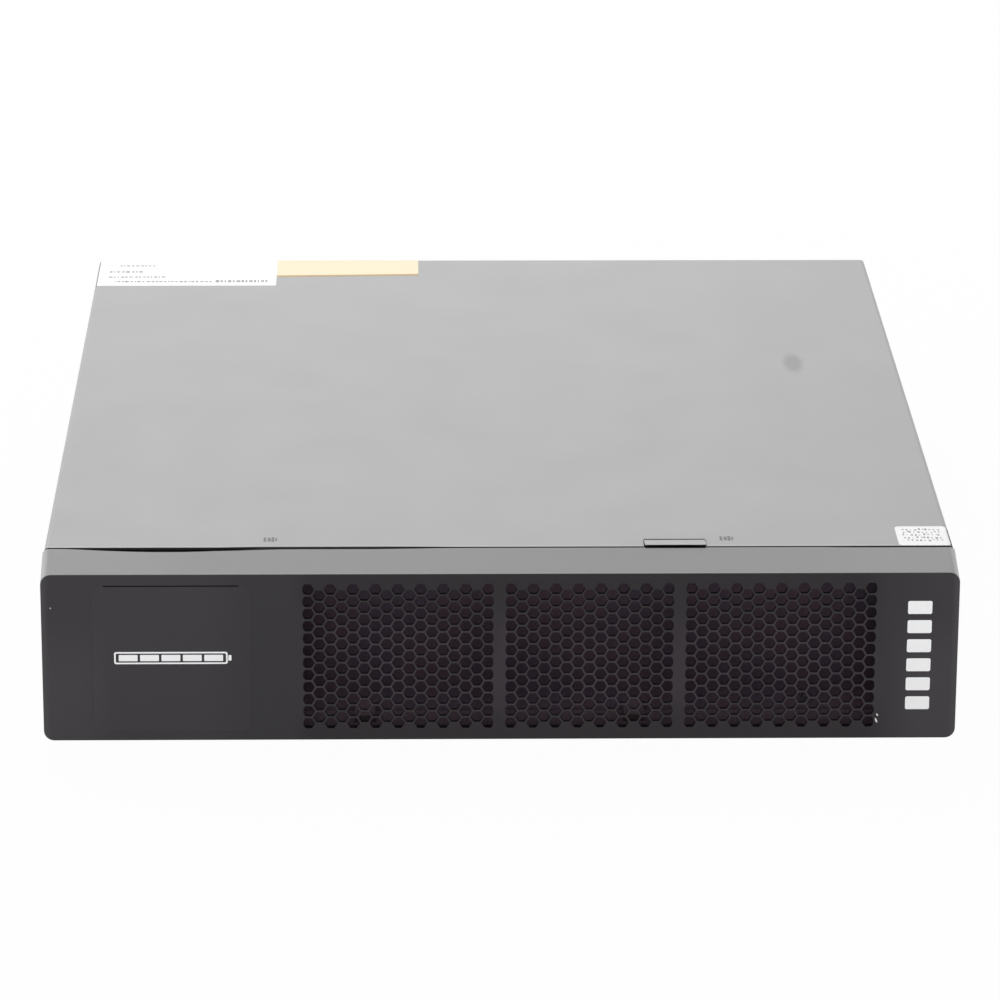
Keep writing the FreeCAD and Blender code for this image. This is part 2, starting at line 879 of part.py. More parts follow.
def make_negative_lead(side):
    """Lead from the first block of a string, over the rear wall of the tray, to the board."""
    x = lane_x(side, -1)
    start = sleeve_y(-1, block_rows - 1, 1)
    return lead(
        [
            Vector(x, start, z_low),
            Vector(x, start + lead_straight, z_low),
            Vector(x, start + lead_straight + link_slope, z_exit),
            Vector(x, y_terminal, z_exit),
        ]
    )


def make_positive_lead(side):
    """Straight lead from the last block of a string to the board."""
    x = lane_x(side, 1)
    return lead([Vector(x, sleeve_y(1, block_rows - 1, 1), z_high), Vector(x, y_terminal, z_high)])


def make_foam_strip(side, column):
    """Foam between the blocks of one column and the cover."""
    middle = side * tray_offset + column * (wire_channel + block_high) / 2
    half = foam_wide / 2
    y_low = y_bulkhead + panel_flange + foam_short
    y_high = y_tray + tray_long - foam_short
    return box(middle - half, middle + half, y_low, y_high, z_block + block_thick, z_roof)


def make_centre_rail():
    """Folded channel on the floor between the trays."""
    profile = channel(rail_width / 2, rail_height, sheet)
    return prism(profile, lambda point: Vector(point.x, y_tray, sheet + point.y), LONG * tray_long)


def board_screw_points():
    """Places (x, z) of the board screws."""
    x = board_width / 2 - board_margin
    z = board_height / 2 - board_margin
    return [(side * x, board_z + level * z) for side in (-1, 1) for level in (-1, 1)]


def make_connector_board():
    """Circuit board that joins the strings, the fuses and the sockets."""
    corners = rectangle(0, board_z, board_width, board_height, board_margin / 2)
    board = prism(corners, in_xz(y_board), LONG * board_thick)
    holes = []
    for x, z in board_screw_points():
        holes.append(Part.makeCylinder(pan_hole_r, board_thick, Vector(x, y_board, z), LONG))
    return board.cut(holes)


def make_board_spacers():
    """Round spacers between the board and the rear panel."""
    spacers = []
    for x, z in board_screw_points():
        start = Vector(x, y_board + board_thick, z)
        spacer = Part.makeCylinder(spacer_r, spacer_long, start, LONG)
        spacers.append(spacer.cut(Part.makeCylinder(pan_hole_r, spacer_long, start, LONG)))
    return Part.makeCompound(spacers)


def make_board_terminals():
    """Blocks on the board that take the four tray leads."""
    blocks = []
    for side in tray_sides.values():
        for column, z in ((-1, z_exit), (1, z_high)):
            corners = rectangle(lane_x(side, column), z, terminal_side, terminal_side, 0)
            blocks.append(prism(corners, in_xz(y_terminal), LONG * terminal_long))
    return Part.makeCompound(blocks)


def fuse_y():
    """Axis of the fuses in front of the board."""
    return y_board - clip_sheet - sleeve_play - ferrule_r


def make_string_fuses():
    """Cartridge fuses with a ferrule at each end, turned from one profile."""
    fuses = []
    for side in (-1, 1):
        left = side * fuse_x - fuse_long / 2
        right = left + fuse_long
        profile = [
            (left, 0, 0),
            (left, ferrule_r, slip),
            (left + ferrule_long, ferrule_r, 0),
            (left + ferrule_long, fuse_r, 0),
            (right - ferrule_long, fuse_r, 0),
            (right - ferrule_long, ferrule_r, 0),
            (right, ferrule_r, slip),
            (right, 0, 0),
        ]
        face = Part.Face(outline(profile, lambda point: Vector(point.x, fuse_y(), fuse_z + point.y)))
        fuses.append(face.revolve(Vector(0, fuse_y(), fuse_z), Vector(1, 0, 0), 360))
    return Part.makeCompound(fuses)


def make_fuse_clips():
    """Sprung clips that hold the ferrules."""
    clips = []
    half = ferrule_r + sleeve_play + clip_sheet
    for side in (-1, 1):
        for end in (-1, 1):
            middle = side * fuse_x + end * (fuse_long - ferrule_long) / 2
            clip = prism(
                channel(half, clip_high, clip_sheet),
                lambda point: Vector(middle - clip_wide / 2, y_board - point.y, fuse_z + point.x),
                Vector(clip_wide, 0, 0),
            )
            clips.append(clip)
    return Part.makeCompound(clips)


def socket_screw_points():
    """Places (x, z) of the screws of both sockets."""
    return [(side * socket_x + end * socket_screw_x, socket_z) for side in (-1, 1) for end in (-1, 1)]


def blade_points():
    """Places (x, z) of the contact blades of both sockets."""
    return [(side * socket_x + end * blade_step / 2, socket_z) for side in (-1, 1) for end in (-1, 1)]


def make_dc_socket(side):
    """Moulded socket: body through the panel, screw plate, collar and plug cavity."""
    x = side * socket_x
    y_end = y_board + board_thick
    body = rectangle(x, socket_z, socket_wide, socket_high, socket_corner)
    plate = rectangle(x, socket_z, plate_wide, plate_high, socket_corner)
    cavity = rectangle(
        x, socket_z, socket_wide - 2 * socket_wall, socket_high - 2 * socket_wall, socket_corner / 2
    )
    solid = fused(
        [
            prism(body, in_xz(y_end), LONG * (y_back + rear_stand - y_end)),
            prism(plate, in_xz(y_back), LONG * plate_thick),
        ]
    )
    y_mouth = y_back + rear_stand
    cuts = [prism(cavity, in_xz(y_mouth - cavity_deep), LONG * cavity_deep)]
    for end in (-1, 1):
        screw = Vector(x + end * socket_screw_x, y_back, socket_z)
        cuts.append(Part.makeCylinder(pan_hole_r, plate_thick, screw, LONG))
        room = rectangle(
            x + end * blade_step / 2, socket_z, blade_thick + 2 * sleeve_play, blade_wide + 2 * sleeve_play, 0
        )
        cuts.append(prism(room, in_xz(y_end), LONG * (y_mouth - cavity_deep - y_end)))
    return solid.cut(cuts)


def make_socket_contacts():
    """Contact blades that stand on the board and reach into the plug cavities."""
    blades = []
    y_start = y_board + board_thick
    y_tip = y_back + rear_stand - cavity_deep + blade_reach
    for x, z in blade_points():
        section = rectangle(x, z, blade_thick, blade_wide, 0)
        blades.append(prism(section, in_xz(y_start), LONG * (y_tip - y_start)))
    return Part.makeCompound(blades)


def make_screw_group(points, y_seat, length):
    """Pan-head screws driven forwards from one plane."""
    screws = [pan_screw(Vector(x, y_seat, z), LONG * -1, length) for x, z in points]
    return Part.makeCompound(screws)


def make_earth_screw():
    """Hexagon-head screw of the earth point."""
    seat = Vector(earth_x, y_back + earth_washer_thick, earth_z)
    length = earth_washer_thick + sheet + earth_nut_high + earth_tail
    shank = Part.makeCylinder(earth_r, length, seat, LONG * -1)
    head = prism(hex_corners(earth_head_r), in_xz(seat.y), LONG * earth_head_high)
    return head.fuse(shank)


def hex_corners(radius):
    """Corners of a hexagon about the earth point."""
    turns = [step * math.pi / 3 for step in range(6)]
    return [(earth_x + radius * math.cos(turn), earth_z + radius * math.sin(turn), 0) for turn in turns]


def make_earth_washer():
    """Plain washer under the head of the earth screw."""
    seat = Vector(earth_x, y_back, earth_z)
    washer = Part.makeCylinder(earth_washer_r, earth_washer_thick, seat, LONG)
    return washer.cut(Part.makeCylinder(earth_r + screw_play, earth_washer_thick, seat, LONG))


def make_earth_nut():
    """Nut of the earth screw inside the rear panel."""
    seat = Vector(earth_x, y_back - sheet, earth_z)
    nut = prism(hex_corners(earth_nut_r), in_xz(seat.y), LONG * -earth_nut_high)
    return nut.cut(Part.makeCylinder(earth_r + screw_play, earth_nut_high, seat, LONG * -1))


def make_pieces():
    """Every piece by its name."""
    pieces = {
        "base_pan": make_base_pan(),
        "top_cover": make_top_cover(),
        "front_bulkhead": make_front_bulkhead(),
        "rear_panel": make_rear_panel(),
        "centre_rail": make_centre_rail(),
        "front_frame": make_front_frame(),
        "front_bezel": make_front_bezel(),
        "display_blank": make_display_blank(),
        "battery_tabs": make_battery_tabs(),
        "tab_sleeves": make_tab_sleeves(),
        "connector_board": make_connector_board(),
        "board_spacers": make_board_spacers(),
        "board_terminals": make_board_terminals(),
        "string_fuses": make_string_fuses(),
        "fuse_clips": make_fuse_clips(),
        "socket_contacts": make_socket_contacts(),
        "earth_screw": make_earth_screw(),
        "earth_washer": make_earth_washer(),
        "earth_nut": make_earth_nut(),
        "ear_nuts": make_ear_nuts(),
        "cover_screws": Part.makeCompound(cover_screw_shapes(0)),
        "tray_screws": Part.makeCompound(tray_screw_shapes(tray_screw_long, 0)),
        "socket_screws": make_screw_group(
            socket_screw_points(), y_back + plate_thick, plate_thick + sheet + panel_screw_long
        ),
        "board_screws": make_screw_group(board_screw_points(), y_back, sheet + spacer_long + board_thick),
        "panel_screws": Part.makeCompound(
            [pan_screw(point, way, panel_screw_long) for point, way in panel_screw_points()]
        ),
    }
    for name, side in tray_sides.items():
        pieces["battery_tray_" + name] = make_tray(side)
        pieces["tray_pad_" + name] = make_tray_pad(side)
        pieces["series_links_" + name] = make_series_links(side)
        pieces["negative_lead_" + name] = make_negative_lead(side)
        pieces["positive_lead_" + name] = make_positive_lead(side)
        pieces["dc_socket_" + name] = make_dc_socket(side)
        pieces["foam_strip_outer_" + name] = make_foam_strip(side, side)
        pieces["foam_strip_inner_" + name] = make_foam_strip(side, -side)
    for number, (side, column, row, lid_x) in enumerate(block_places(), 1):
        pieces["battery_%02d" % number] = make_block(column, row, lid_x)
    return pieces


os.makedirs("parts", exist_ok=True)
for piece_name, shape in make_pieces().items():
    shape.exportStep("parts/" + piece_name + ".step")
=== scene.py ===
"""Looks of the external battery pack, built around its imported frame."""
import logging
import math
from collections.abc import Callable, Iterable, Iterator, Sequence
from dataclasses import dataclass
from enum import Enum

import bmesh
import bpy
import numpy as np
from mathutils import Matrix, Vector
from mathutils.geometry import delaunay_2d_cdt


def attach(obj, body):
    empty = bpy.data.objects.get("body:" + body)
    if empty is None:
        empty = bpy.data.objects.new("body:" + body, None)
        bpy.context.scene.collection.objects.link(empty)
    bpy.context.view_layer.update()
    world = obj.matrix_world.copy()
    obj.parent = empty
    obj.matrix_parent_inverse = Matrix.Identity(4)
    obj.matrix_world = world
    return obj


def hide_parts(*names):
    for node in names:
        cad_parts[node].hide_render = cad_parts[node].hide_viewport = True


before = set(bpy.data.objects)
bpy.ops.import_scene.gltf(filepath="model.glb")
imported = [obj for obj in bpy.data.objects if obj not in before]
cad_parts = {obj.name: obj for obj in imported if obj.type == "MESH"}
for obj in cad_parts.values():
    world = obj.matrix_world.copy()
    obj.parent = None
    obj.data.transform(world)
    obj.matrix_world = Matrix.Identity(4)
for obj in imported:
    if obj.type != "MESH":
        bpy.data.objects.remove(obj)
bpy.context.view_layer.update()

MM = 0.001
BODY = "root"
LOG = logging.getLogger("battery_pack")

Point = tuple[float, float]
Point3 = tuple[float, float, float]
Box = tuple[float, float, float, float]
Rgb = tuple[float, float, float]
Loop = list[Point]
Segments = list[tuple[Point, Point]]
Placing = Callable[[Point, float], Point3]
Piece = bpy.types.Object
Pieces = list[Piece]
WHITE = (1.0, 1.0, 1.0, 1.0)


class Axis(Enum):
    """Axis of the row frame."""

    X = 0
    Y = 1
    Z = 2


class Head(Enum):
    """Form of a screw head."""

    PAN = "pan"
    FLAT = "flat"


# Shader graphs


class Sock:
    """A value in a shader graph; arithmetic on it adds Math nodes."""

    def __init__(self, graph: "Graph", socket: bpy.types.NodeSocket | None) -> None:
        """Wrap one output socket of a graph."""
        self.graph = graph
        self.socket = socket

    def math(self, operation: str, *values: "Sock | float") -> "Sock":
        """Math node over the given values."""
        return self.graph.node("ShaderNodeMath", {"operation": operation}, dict(enumerate(values)))

    def __add__(self, other: "Sock | float") -> "Sock":
        """Sum."""
        return self.math("ADD", self, other)

    def __radd__(self, other: float) -> "Sock":
        """Sum with a number on the left."""
        return self.math("ADD", other, self)

    def __sub__(self, other: "Sock | float") -> "Sock":
        """Difference."""
        return self.math("SUBTRACT", self, other)

    def __rsub__(self, other: float) -> "Sock":
        """Difference from a number on the left."""
        return self.math("SUBTRACT", other, self)

    def __mul__(self, other: "Sock | float") -> "Sock":
        """Product."""
        return self.math("MULTIPLY", self, other)

    def __rmul__(self, other: float) -> "Sock":
        """Product with a number on the left."""
        return self.math("MULTIPLY", other, self)

    def __truediv__(self, other: "Sock | float") -> "Sock":
        """Quotient."""
        return self.math("DIVIDE", self, other)

    def __rtruediv__(self, other: float) -> "Sock":
        """Quotient of a number on the left."""
        return self.math("DIVIDE", other, self)

    def __abs__(self) -> "Sock":
        """Size without its sign."""
        return self.math("ABSOLUTE", self)

    def most(self, other: "Sock | float") -> "Sock":
        """Larger of two values."""
        return self.math("MAXIMUM", self, other)

    def length(self, other: "Sock") -> "Sock":
        """Length of a vector of two parts."""
        return self.math("SQRT", self * self + other * other)

    def swing(self, size: float) -> "Sock":
        """Spread about zero of a pattern that runs from 0 to 1."""
        return size * (self - 0.5)

    def rise(self, low: float, high: float) -> "Sock":
        """Smooth step from 0 at low to 1 at high."""
        inputs = {"Value": self, "From Min": low, "From Max": high}
        return self.graph.node("ShaderNodeMapRange", {"interpolation_type": "SMOOTHSTEP"}, inputs)

    def fall(self, low: float, high: float) -> "Sock":
        """Smooth step from 1 at low to 0 at high."""
        return 1 - self.rise(low, high)

    def between(self, start: Point, stop: Point) -> "Sock":
        """1 between two fades and 0 outside them."""
        return self.rise(*start) * self.fall(*stop)


Sockets = dict[str, Sock]


class Graph:
    """Node tree of one material or of the world."""

    def __init__(self, tree: bpy.types.NodeTree) -> None:
        """Empty a tree and take it over."""
        self.tree = tree
        tree.nodes.clear()

    def node(
        self,
        kind: str,
        settings: dict[str, object] | None = None,
        inputs: dict[int | str, object] | None = None,
        output: int | str = 0,
    ) -> Sock:
        """Add a node.

        Args:
            kind: Type name of the node.
            settings: Properties of the node, set first.
            inputs: Values or links of its input sockets.
            output: The output socket to give back.

        Returns:
            The chosen output.
        """
        made = self.tree.nodes.new(kind)
        for key, value in (settings or {}).items():
            setattr(made, key, value)
        for key, value in (inputs or {}).items():
            if isinstance(value, Sock):
                self.tree.links.new(value.socket, made.inputs[key])
            else:
                made.inputs[key].default_value = value
        return Sock(self, made.outputs[output] if made.outputs else None)

    def place(self) -> Sock:
        """Place on the piece, in metres of the row frame."""
        return self.node("ShaderNodeTexCoord", output="Object")

    def axes(self) -> tuple[Sock, Sock, Sock]:
        """Place across, along the depth and upwards, in millimetres."""
        return self.split(self.stretch(self.place(), (1 / MM,) * 3))

    def split(self, vector: Sock) -> tuple[Sock, Sock, Sock]:
        """The three parts of a vector."""
        x, y, z = (self.node("ShaderNodeSeparateXYZ", inputs={0: vector}, output=axis) for axis in "XYZ")
        return x, y, z

    def stretch(self, vector: Sock, factors: Point3) -> Sock:
        """Scale a vector along each axis."""
        return self.node("ShaderNodeVectorMath", {"operation": "MULTIPLY"}, {0: vector, 1: factors})

    def noise(self, vector: Sock, scale: float, detail: float = 2.0) -> Sock:
        """Soft noise between 0 and 1."""
        return self.node("ShaderNodeTexNoise", inputs={"Vector": vector, "Scale": scale, "Detail": detail})

    def cells(self, vector: Sock, scale: float, output: str = "Distance") -> Sock:
        """Cell pattern."""
        return self.node("ShaderNodeTexVoronoi", inputs={"Vector": vector, "Scale": scale}, output=output)

    def mix(self, first: "Sock | Rgb", second: "Sock | Rgb", factor: Sock) -> Sock:
        """Blend two colours.

        Args:
            first: Colour where the factor is 0.
            second: Colour where the factor is 1.
            factor: Share of the second colour.

        Returns:
            The blended colour.
        """
        colors = [value if isinstance(value, Sock) else (*value, 1.0) for value in (first, second)]
        # The colour sockets of a Mix node have numbers, because their names stand there several times
        return self.node("ShaderNodeMix", {"data_type": "RGBA"}, {0: factor, 6: colors[0], 7: colors[1]}, 2)

    def bump(self, height: Sock, strength: float, distance: float) -> Sock:
        """Normal from a height, with the distance in millimetres."""
        inputs = {"Height": height, "Strength": strength, "Distance": distance * MM}
        return self.node("ShaderNodeBump", inputs=inputs)


# Finishes


def shaded(color: Rgb, factor: float) -> Rgb:
    """A lighter or darker version of a colour."""
    return color[0] * factor, color[1] * factor, color[2] * factor


@dataclass(frozen=True)
class Finish:
    """A surface finish, made into a material when a piece first wears it.

    The drift has a scale and a detail, the relief a strength and a depth in millimetres.
    """

    name: str
    color: Rgb
    roughness: float = 0.5
    metallic: float = 0.0
    specular: float = 0.5
    spread: float = 0.06
    drift: Point = (40.0, 2.0)
    uneven: float = 0.1
    grain: float = 0.0
    grain_detail: float = 2.0
    grain_gloss: float = 0.1
    relief: Point = (0.4, 0.02)

    def material(self) -> bpy.types.Material:
        """Give the material of the finish, made on first use.

        Returns:
            The material with its nodes.
        """
        title = "look_" + self.name
        if title in bpy.data.materials:
            return bpy.data.materials[title]
        made = bpy.data.materials.new(title)
        made.use_nodes = True
        made.diffuse_color = (*self.color, 1.0)
        graph = Graph(made.node_tree)
        inputs = {"Metallic": self.metallic, "Specular IOR Level": self.specular, **self.surface(graph)}
        shader = graph.node("ShaderNodeBsdfPrincipled", inputs=inputs)
        graph.node("ShaderNodeOutputMaterial", inputs={"Surface": shader})
        return made

    def tone(self, graph: Graph, factor: Sock) -> Sock:
        """The colour, a little darker or lighter along a factor."""
        return graph.mix(shaded(self.color, 1 - self.spread), shaded(self.color, 1 + self.spread), factor)

    def coat(self, graph: Graph, drift: Sock) -> Sock:
        """Colour over the surface."""
        return self.tone(graph, drift)

    def surface(self, graph: Graph) -> Sockets:
        """Sockets of the shader that vary over the surface.

        Args:
            graph: Node tree of the material.

        Returns:
            Sockets by their name on the shader.
        """
        drift = graph.noise(graph.place(), *self.drift)
        rough = self.roughness + drift.swing(self.uneven)
        if not self.grain:
            return {"Base Color": self.coat(graph, drift), "Roughness": rough}
        grain = graph.noise(graph.place(), self.grain, self.grain_detail)
        return {
            "Base Color": self.coat(graph, drift),
            "Roughness": rough + grain.swing(self.grain_gloss),
            "Normal": graph.bump(grain, *self.relief),
        }


@dataclass(frozen=True)
class FilmStock(Finish):
    """Printed film of a sticker, with a faint paper tooth."""

    drift: Point = (30.0, 2.0)
    uneven: float = 0.0
    grain: float = 1800.0
    grain_gloss: float = 0.12
    relief: Point = (0.15, 0.01)


@dataclass(frozen=True)
class Paint(Finish):
    """Satin powder coat with a fine orange peel."""

    drift: Point = (22.0, 2.0)
    uneven: float = 0.12
    grain: float = 1300.0
    grain_detail: float = 1.0
    grain_gloss: float = 0.08
    relief: Point = (0.3, 0.03)
    cloud: Point = (5.0, 3.0)

    def coat(self, graph: Graph, drift: Sock) -> Sock:
        """Colour of the coat, which drifts more slowly than its gloss."""
        return self.tone(graph, graph.noise(graph.place(), *self.cloud))


@dataclass(frozen=True)
class CoverPaint(Paint):
    """Paint of the cover, with a soft smudge, painted shade at the front cut edge and the crease, and
    painted highlights along the front edge, in millimetres.

    Heights of fades count from the top, and depths of fades from the front edge.
    """

    smudge: Point = (163.6, 62.4)
    smudge_half: Point = (5.4, 16.2)
    smudge_fade: Point = (0.5, 1.3)
    smudge_height: Point = (-2.0, -1.0)
    smudge_share: float = 0.75
    smudge_color: Rgb = (0.268, 0.265, 0.275)
    ragged: Point = (160.0, 0.5)
    top: float = 86.5
    front: float = -230.5
    hinge: float = -220.8
    tongue: Point = (70.05, 99.55)
    tongue_fade: float = 0.1
    upper: Point = (-0.5, -0.2)
    raised: Point = (0.65, 0.8)
    # Painted highlight along the front edge of the top
    edge_highlight_fade: Point = (1.0, 2.6)
    highlight_lift: float = 1.16
    # Painted shade in the crease at the tongue's hinge
    crease_fade: Point = (0.85, 1.1)
    crease_shade_color: Rgb = (0.035, 0.035, 0.035)
    # Painted shadow on the front cut face and in the seam before it, wider along part of the front
    seam_shadow_wide: float = 0.7
    seam_shadow_start: Point = (-135.0, -115.0)
    seam_shadow_stop: Point = (-60.0, -15.0)
    cut_fade: Point = (0.03, 0.12)
    seam_shadow_color: Rgb = (0.012, 0.012, 0.012)
    # Painted highlight on the upper part of the raised tongue's cut face
    tongue_edge_highlight: Rgb = (0.78, 0.78, 0.78)

    def coat(self, graph: Graph, drift: Sock) -> Sock:
        """Coat colour with the smudge, and the painted shade and highlights of the edges, laid over it.

        Args:
            graph: Node tree of the material.
            drift: Drift of the gloss.

        Returns:
            The colour.
        """
        x, y, z = graph.axes()
        height, behind = z - self.top, y - self.front
        across = (x - self.smudge[0]) / self.smudge_half[0]
        along = (y - self.smudge[1]) / self.smudge_half[1]
        away = across.length(along) + graph.noise(graph.place(), self.ragged[0]).swing(self.ragged[1])
        smudge = away.fall(*self.smudge_fade) * height.rise(*self.smudge_height) * self.smudge_share
        color = graph.mix(super().coat(graph, drift), self.smudge_color, smudge)
        upper = height.rise(*self.upper)
        # Painted highlight along the front edge of the top
        color = graph.mix(color, shaded(self.color, self.highlight_lift), behind.fall(*self.edge_highlight_fade) * upper)
        left, right = self.tongue
        on_tongue = x.between((left - self.tongue_fade, left), (right, right + self.tongue_fade))
        # Painted shade in the crease at the tongue's hinge
        crease_shade = abs(y - self.hinge).fall(*self.crease_fade) * on_tongue
        color = graph.mix(color, self.crease_shade_color, crease_shade * upper)
        # Painted shadow on the front cut face and in the seam before it, wider along part of the front
        cut = (behind - self.seam_shadow_wide * x.between(self.seam_shadow_start, self.seam_shadow_stop)).fall(*self.cut_fade)
        # Painted highlight on the upper part of the raised tongue's cut face, painted shadow below it
        raised = height.rise(*self.raised)
        color = graph.mix(color, self.seam_shadow_color, cut * (1 - raised))
        return graph.mix(color, self.tongue_edge_highlight, cut * raised)


@dataclass(frozen=True)
class BulkheadPaint(Paint):
    """Thin dark paint with a drifting tint, painted lighter low down and high up where it lies in shade,
    and black along the top, in millimetres.
    """

    cool: Rgb = (0.048, 0.037, 0.051)
    tint: Point = (45.0, 1.0)
    tint_fade: Point = (0.4, 0.62)
    # Painted light: a lighter copy of the colours low down and high up, where the bulkhead lies in shade
    pale: float = 1.76
    pale_low: Point = (2.0, 15.0)
    pale_high: Point = (45.0, 64.0)
    high_share: float = 0.5
    black: Rgb = (0.012, 0.011, 0.012)
    black_fade: Point = (80.5, 81.5)

    def coat(self, graph: Graph, drift: Sock) -> Sock:
        """Colour of the coat.

        Args:
            graph: Node tree of the material.
            drift: Drift of the gloss; not used.

        Returns:
            The colour.
        """
        tint = graph.noise(graph.place(), *self.tint).rise(*self.tint_fade)
        height = graph.axes()[2]
        dark = graph.mix(self.color, self.cool, tint)
        pale = graph.mix(shaded(self.color, self.pale), shaded(self.cool, self.pale), tint)
        # Painted light low down and high up, where the bulkhead lies in shade behind the grille
        lift = height.fall(*self.pale_low).most(self.high_share * height.rise(*self.pale_high))
        return graph.mix(graph.mix(dark, pale, lift), self.black, height.rise(*self.black_fade))


@dataclass(frozen=True)
class Moulding(Finish):
    """Moulded plastic with a fine spark-eroded grain."""

    drift: Point = (12.0, 3.0)
    grain: float = 2200.0


@dataclass(frozen=True)
class SprayedMoulding(Moulding):
    """Black moulding of the frame, sprayed on its outer side only, with painted highlights and shade, in
    millimetres.

    Half width, top and corner are given at the front and at the rear.
    """

    front: float = -264.4
    long: float = 32.4
    half: Point = (219.0, 219.9)
    top: Point = (84.9, 86.5)
    low: float = 0.5
    corner: Point = (5.0, 2.9)
    skin: Point = (1.2, 1.3)
    bare: Rgb = (0.035, 0.026, 0.031)
    # Painted light on the bare inner faces that look upwards, which lie in shade
    floor_painted_light: Rgb = (0.3, 0.22, 0.265)
    floor_facing: Point = (0.5, 0.8)
    # Painted highlights along the front edge, at the ends and toward the far ends
    highlight_lift: float = 1.7
    front_highlight: float = 0.2
    front_highlight_fade: Point = (0.7, 1.4)
    end_highlight_fade: Point = (-4.0, -0.8)
    far_highlight: float = 0.14
    far_highlight_fade: Point = (130.0, 190.0)
    # Painted shadow line along the rear edge, at the seam with the cover
    gap_shadow_color: Rgb = (0.006, 0.0055, 0.006)
    gap_shadow_fade: float = 0.15
    gap_shadow_height: Point = (76.9, 78.9)
    bow_start: Point = (-218.0, -178.0)
    bow_shadows: Point = (2.0, 1.5)
    bow_stops: tuple[Point, Point] = ((-140.0, -100.0), (-64.0, -10.0))
    tongue_shadow: float = 1.2
    tongue: tuple[Point, Point] = ((69.5, 70.5), (99.0, 100.0))
    right_shadow: float = 0.9
    right_fade: Point = (140.0, 175.0)

    def gap_shadow(self, x: Sock, y: Sock, z: Sock) -> Sock:
        """Painted shadow line along the rear edge, widest beside the bow.

        Args:
            x: Place across.
            y: Place along the depth.
            z: Height.

        Returns:
            Share of the painted shadow line.
        """
        first, second = (wide * x.fall(*stop) for wide, stop in zip(self.bow_shadows, self.bow_stops))
        wide = x.rise(*self.bow_start) * (first + second) + self.tongue_shadow * x.between(*self.tongue)
        wide = wide + self.right_shadow * x.rise(*self.right_fade)
        before = self.front + self.long - y
        return (wide - before).rise(0.0, self.gap_shadow_fade) * z.rise(*self.gap_shadow_height)

    def surface(self, graph: Graph) -> Sockets:
        """Sprayed outside with painted highlights along the front edge and the ends, bare inside with
        painted light on upward faces, and a painted shadow line.

        Args:
            graph: Node tree of the material.

        Returns:
            Sockets by their name on the shader.
        """
        sockets = super().surface(graph)
        x, y, z = graph.axes()
        along = (y - self.front) / self.long
        spans = (self.half, self.top, self.corner)
        half, top, radius = (near + (far - near) * along for near, far in spans)
        across = (abs(x) - half + radius).most(0)
        upright = (abs(z - (top + self.low) / 2) - (top - self.low) / 2 + radius).most(0)
        inner = (radius - across.length(upright)).rise(*self.skin)
        # Painted highlights along the front edge, at the ends and toward the far ends
        highlight_share = self.front_highlight * (y - self.front).fall(*self.front_highlight_fade)
        highlight_share = highlight_share.most((abs(x) - half).rise(*self.end_highlight_fade))
        highlight_share = highlight_share.most(self.far_highlight * abs(x).rise(*self.far_highlight_fade))
        coat = graph.mix(sockets["Base Color"], shaded(self.color, self.highlight_lift), highlight_share)
        # Bare black inside, with painted light on the faces that look upwards
        facing = graph.split(graph.node("ShaderNodeNewGeometry", output="Normal"))[2]
        bare = graph.mix(self.bare, self.floor_painted_light, facing.rise(*self.floor_facing))
        # Painted shadow line along the rear edge, made fully rough
        gap_shadow = self.gap_shadow(x, y, z)
        color = graph.mix(graph.mix(coat, bare, inner), self.gap_shadow_color, gap_shadow)
        return {**sockets, "Base Color": color, "Roughness": sockets["Roughness"].most(gap_shadow)}


@dataclass(frozen=True)
class PlateMoulding(Moulding):
    """Moulding of the front plate, darker round the grille, with a painted sheen on the webs and painted
    light toward the ends, in millimetres.
    """

    grille: Rgb = (0.0112, 0.0082, 0.0106)
    grille_x: float = 42.5
    grille_fade: Point = (129.5, 145.5)
    # Painted sheen on the webs of the grille
    web: Rgb = (0.0278, 0.0208, 0.0268)
    web_z: float = 40.0
    web_fade: Point = (12.0, 36.0)
    sheen_noise: float = 30.0
    sheen_fade: Point = (0.35, 0.65)
    sheen_least: float = 0.4
    # Painted light toward the ends, most low down at the far ends
    pale: float = 1.34
    pale_x: float = 35.0
    pale_fade: Point = (150.0, 180.0)
    palest: float = 1.85
    palest_fade: Point = (180.0, 205.0)
    palest_height: Point = (30.0, 70.0)
    # Painted highlight on the rounded ends
    end_highlight: Rgb = (0.05, 0.047, 0.05)
    end_highlight_fade: Point = (215.0, 219.0)

    def coat(self, graph: Graph, drift: Sock) -> Sock:
        """Plain colour with the darker grille, a painted sheen on the webs, and painted light toward and on
        the ends.

        Args:
            graph: Node tree of the material.
            drift: Drift of the colour.

        Returns:
            The colour.
        """
        x, _, z = graph.axes()
        # Painted sheen on the webs, strongest by the middle rows
        ragged = graph.noise(graph.place(), self.sheen_noise).rise(*self.sheen_fade)
        web_sheen = abs(z - self.web_z).fall(*self.web_fade) * (self.sheen_least + (1 - self.sheen_least) * ragged)
        # Painted light toward the ends, most low down at the far ends
        pale = abs(x - self.pale_x).rise(*self.pale_fade)
        palest = abs(x).rise(*self.palest_fade) * z.fall(*self.palest_height)
        color = graph.mix(super().coat(graph, drift), shaded(self.color, self.pale), pale)
        color = graph.mix(color, shaded(self.color, self.palest), palest)
        near = abs(x - self.grille_x).fall(*self.grille_fade)
        color = graph.mix(color, graph.mix(self.grille, self.web, web_sheen), near)
        # Painted highlight on the rounded ends
        return graph.mix(color, self.end_highlight, abs(x).rise(*self.end_highlight_fade))


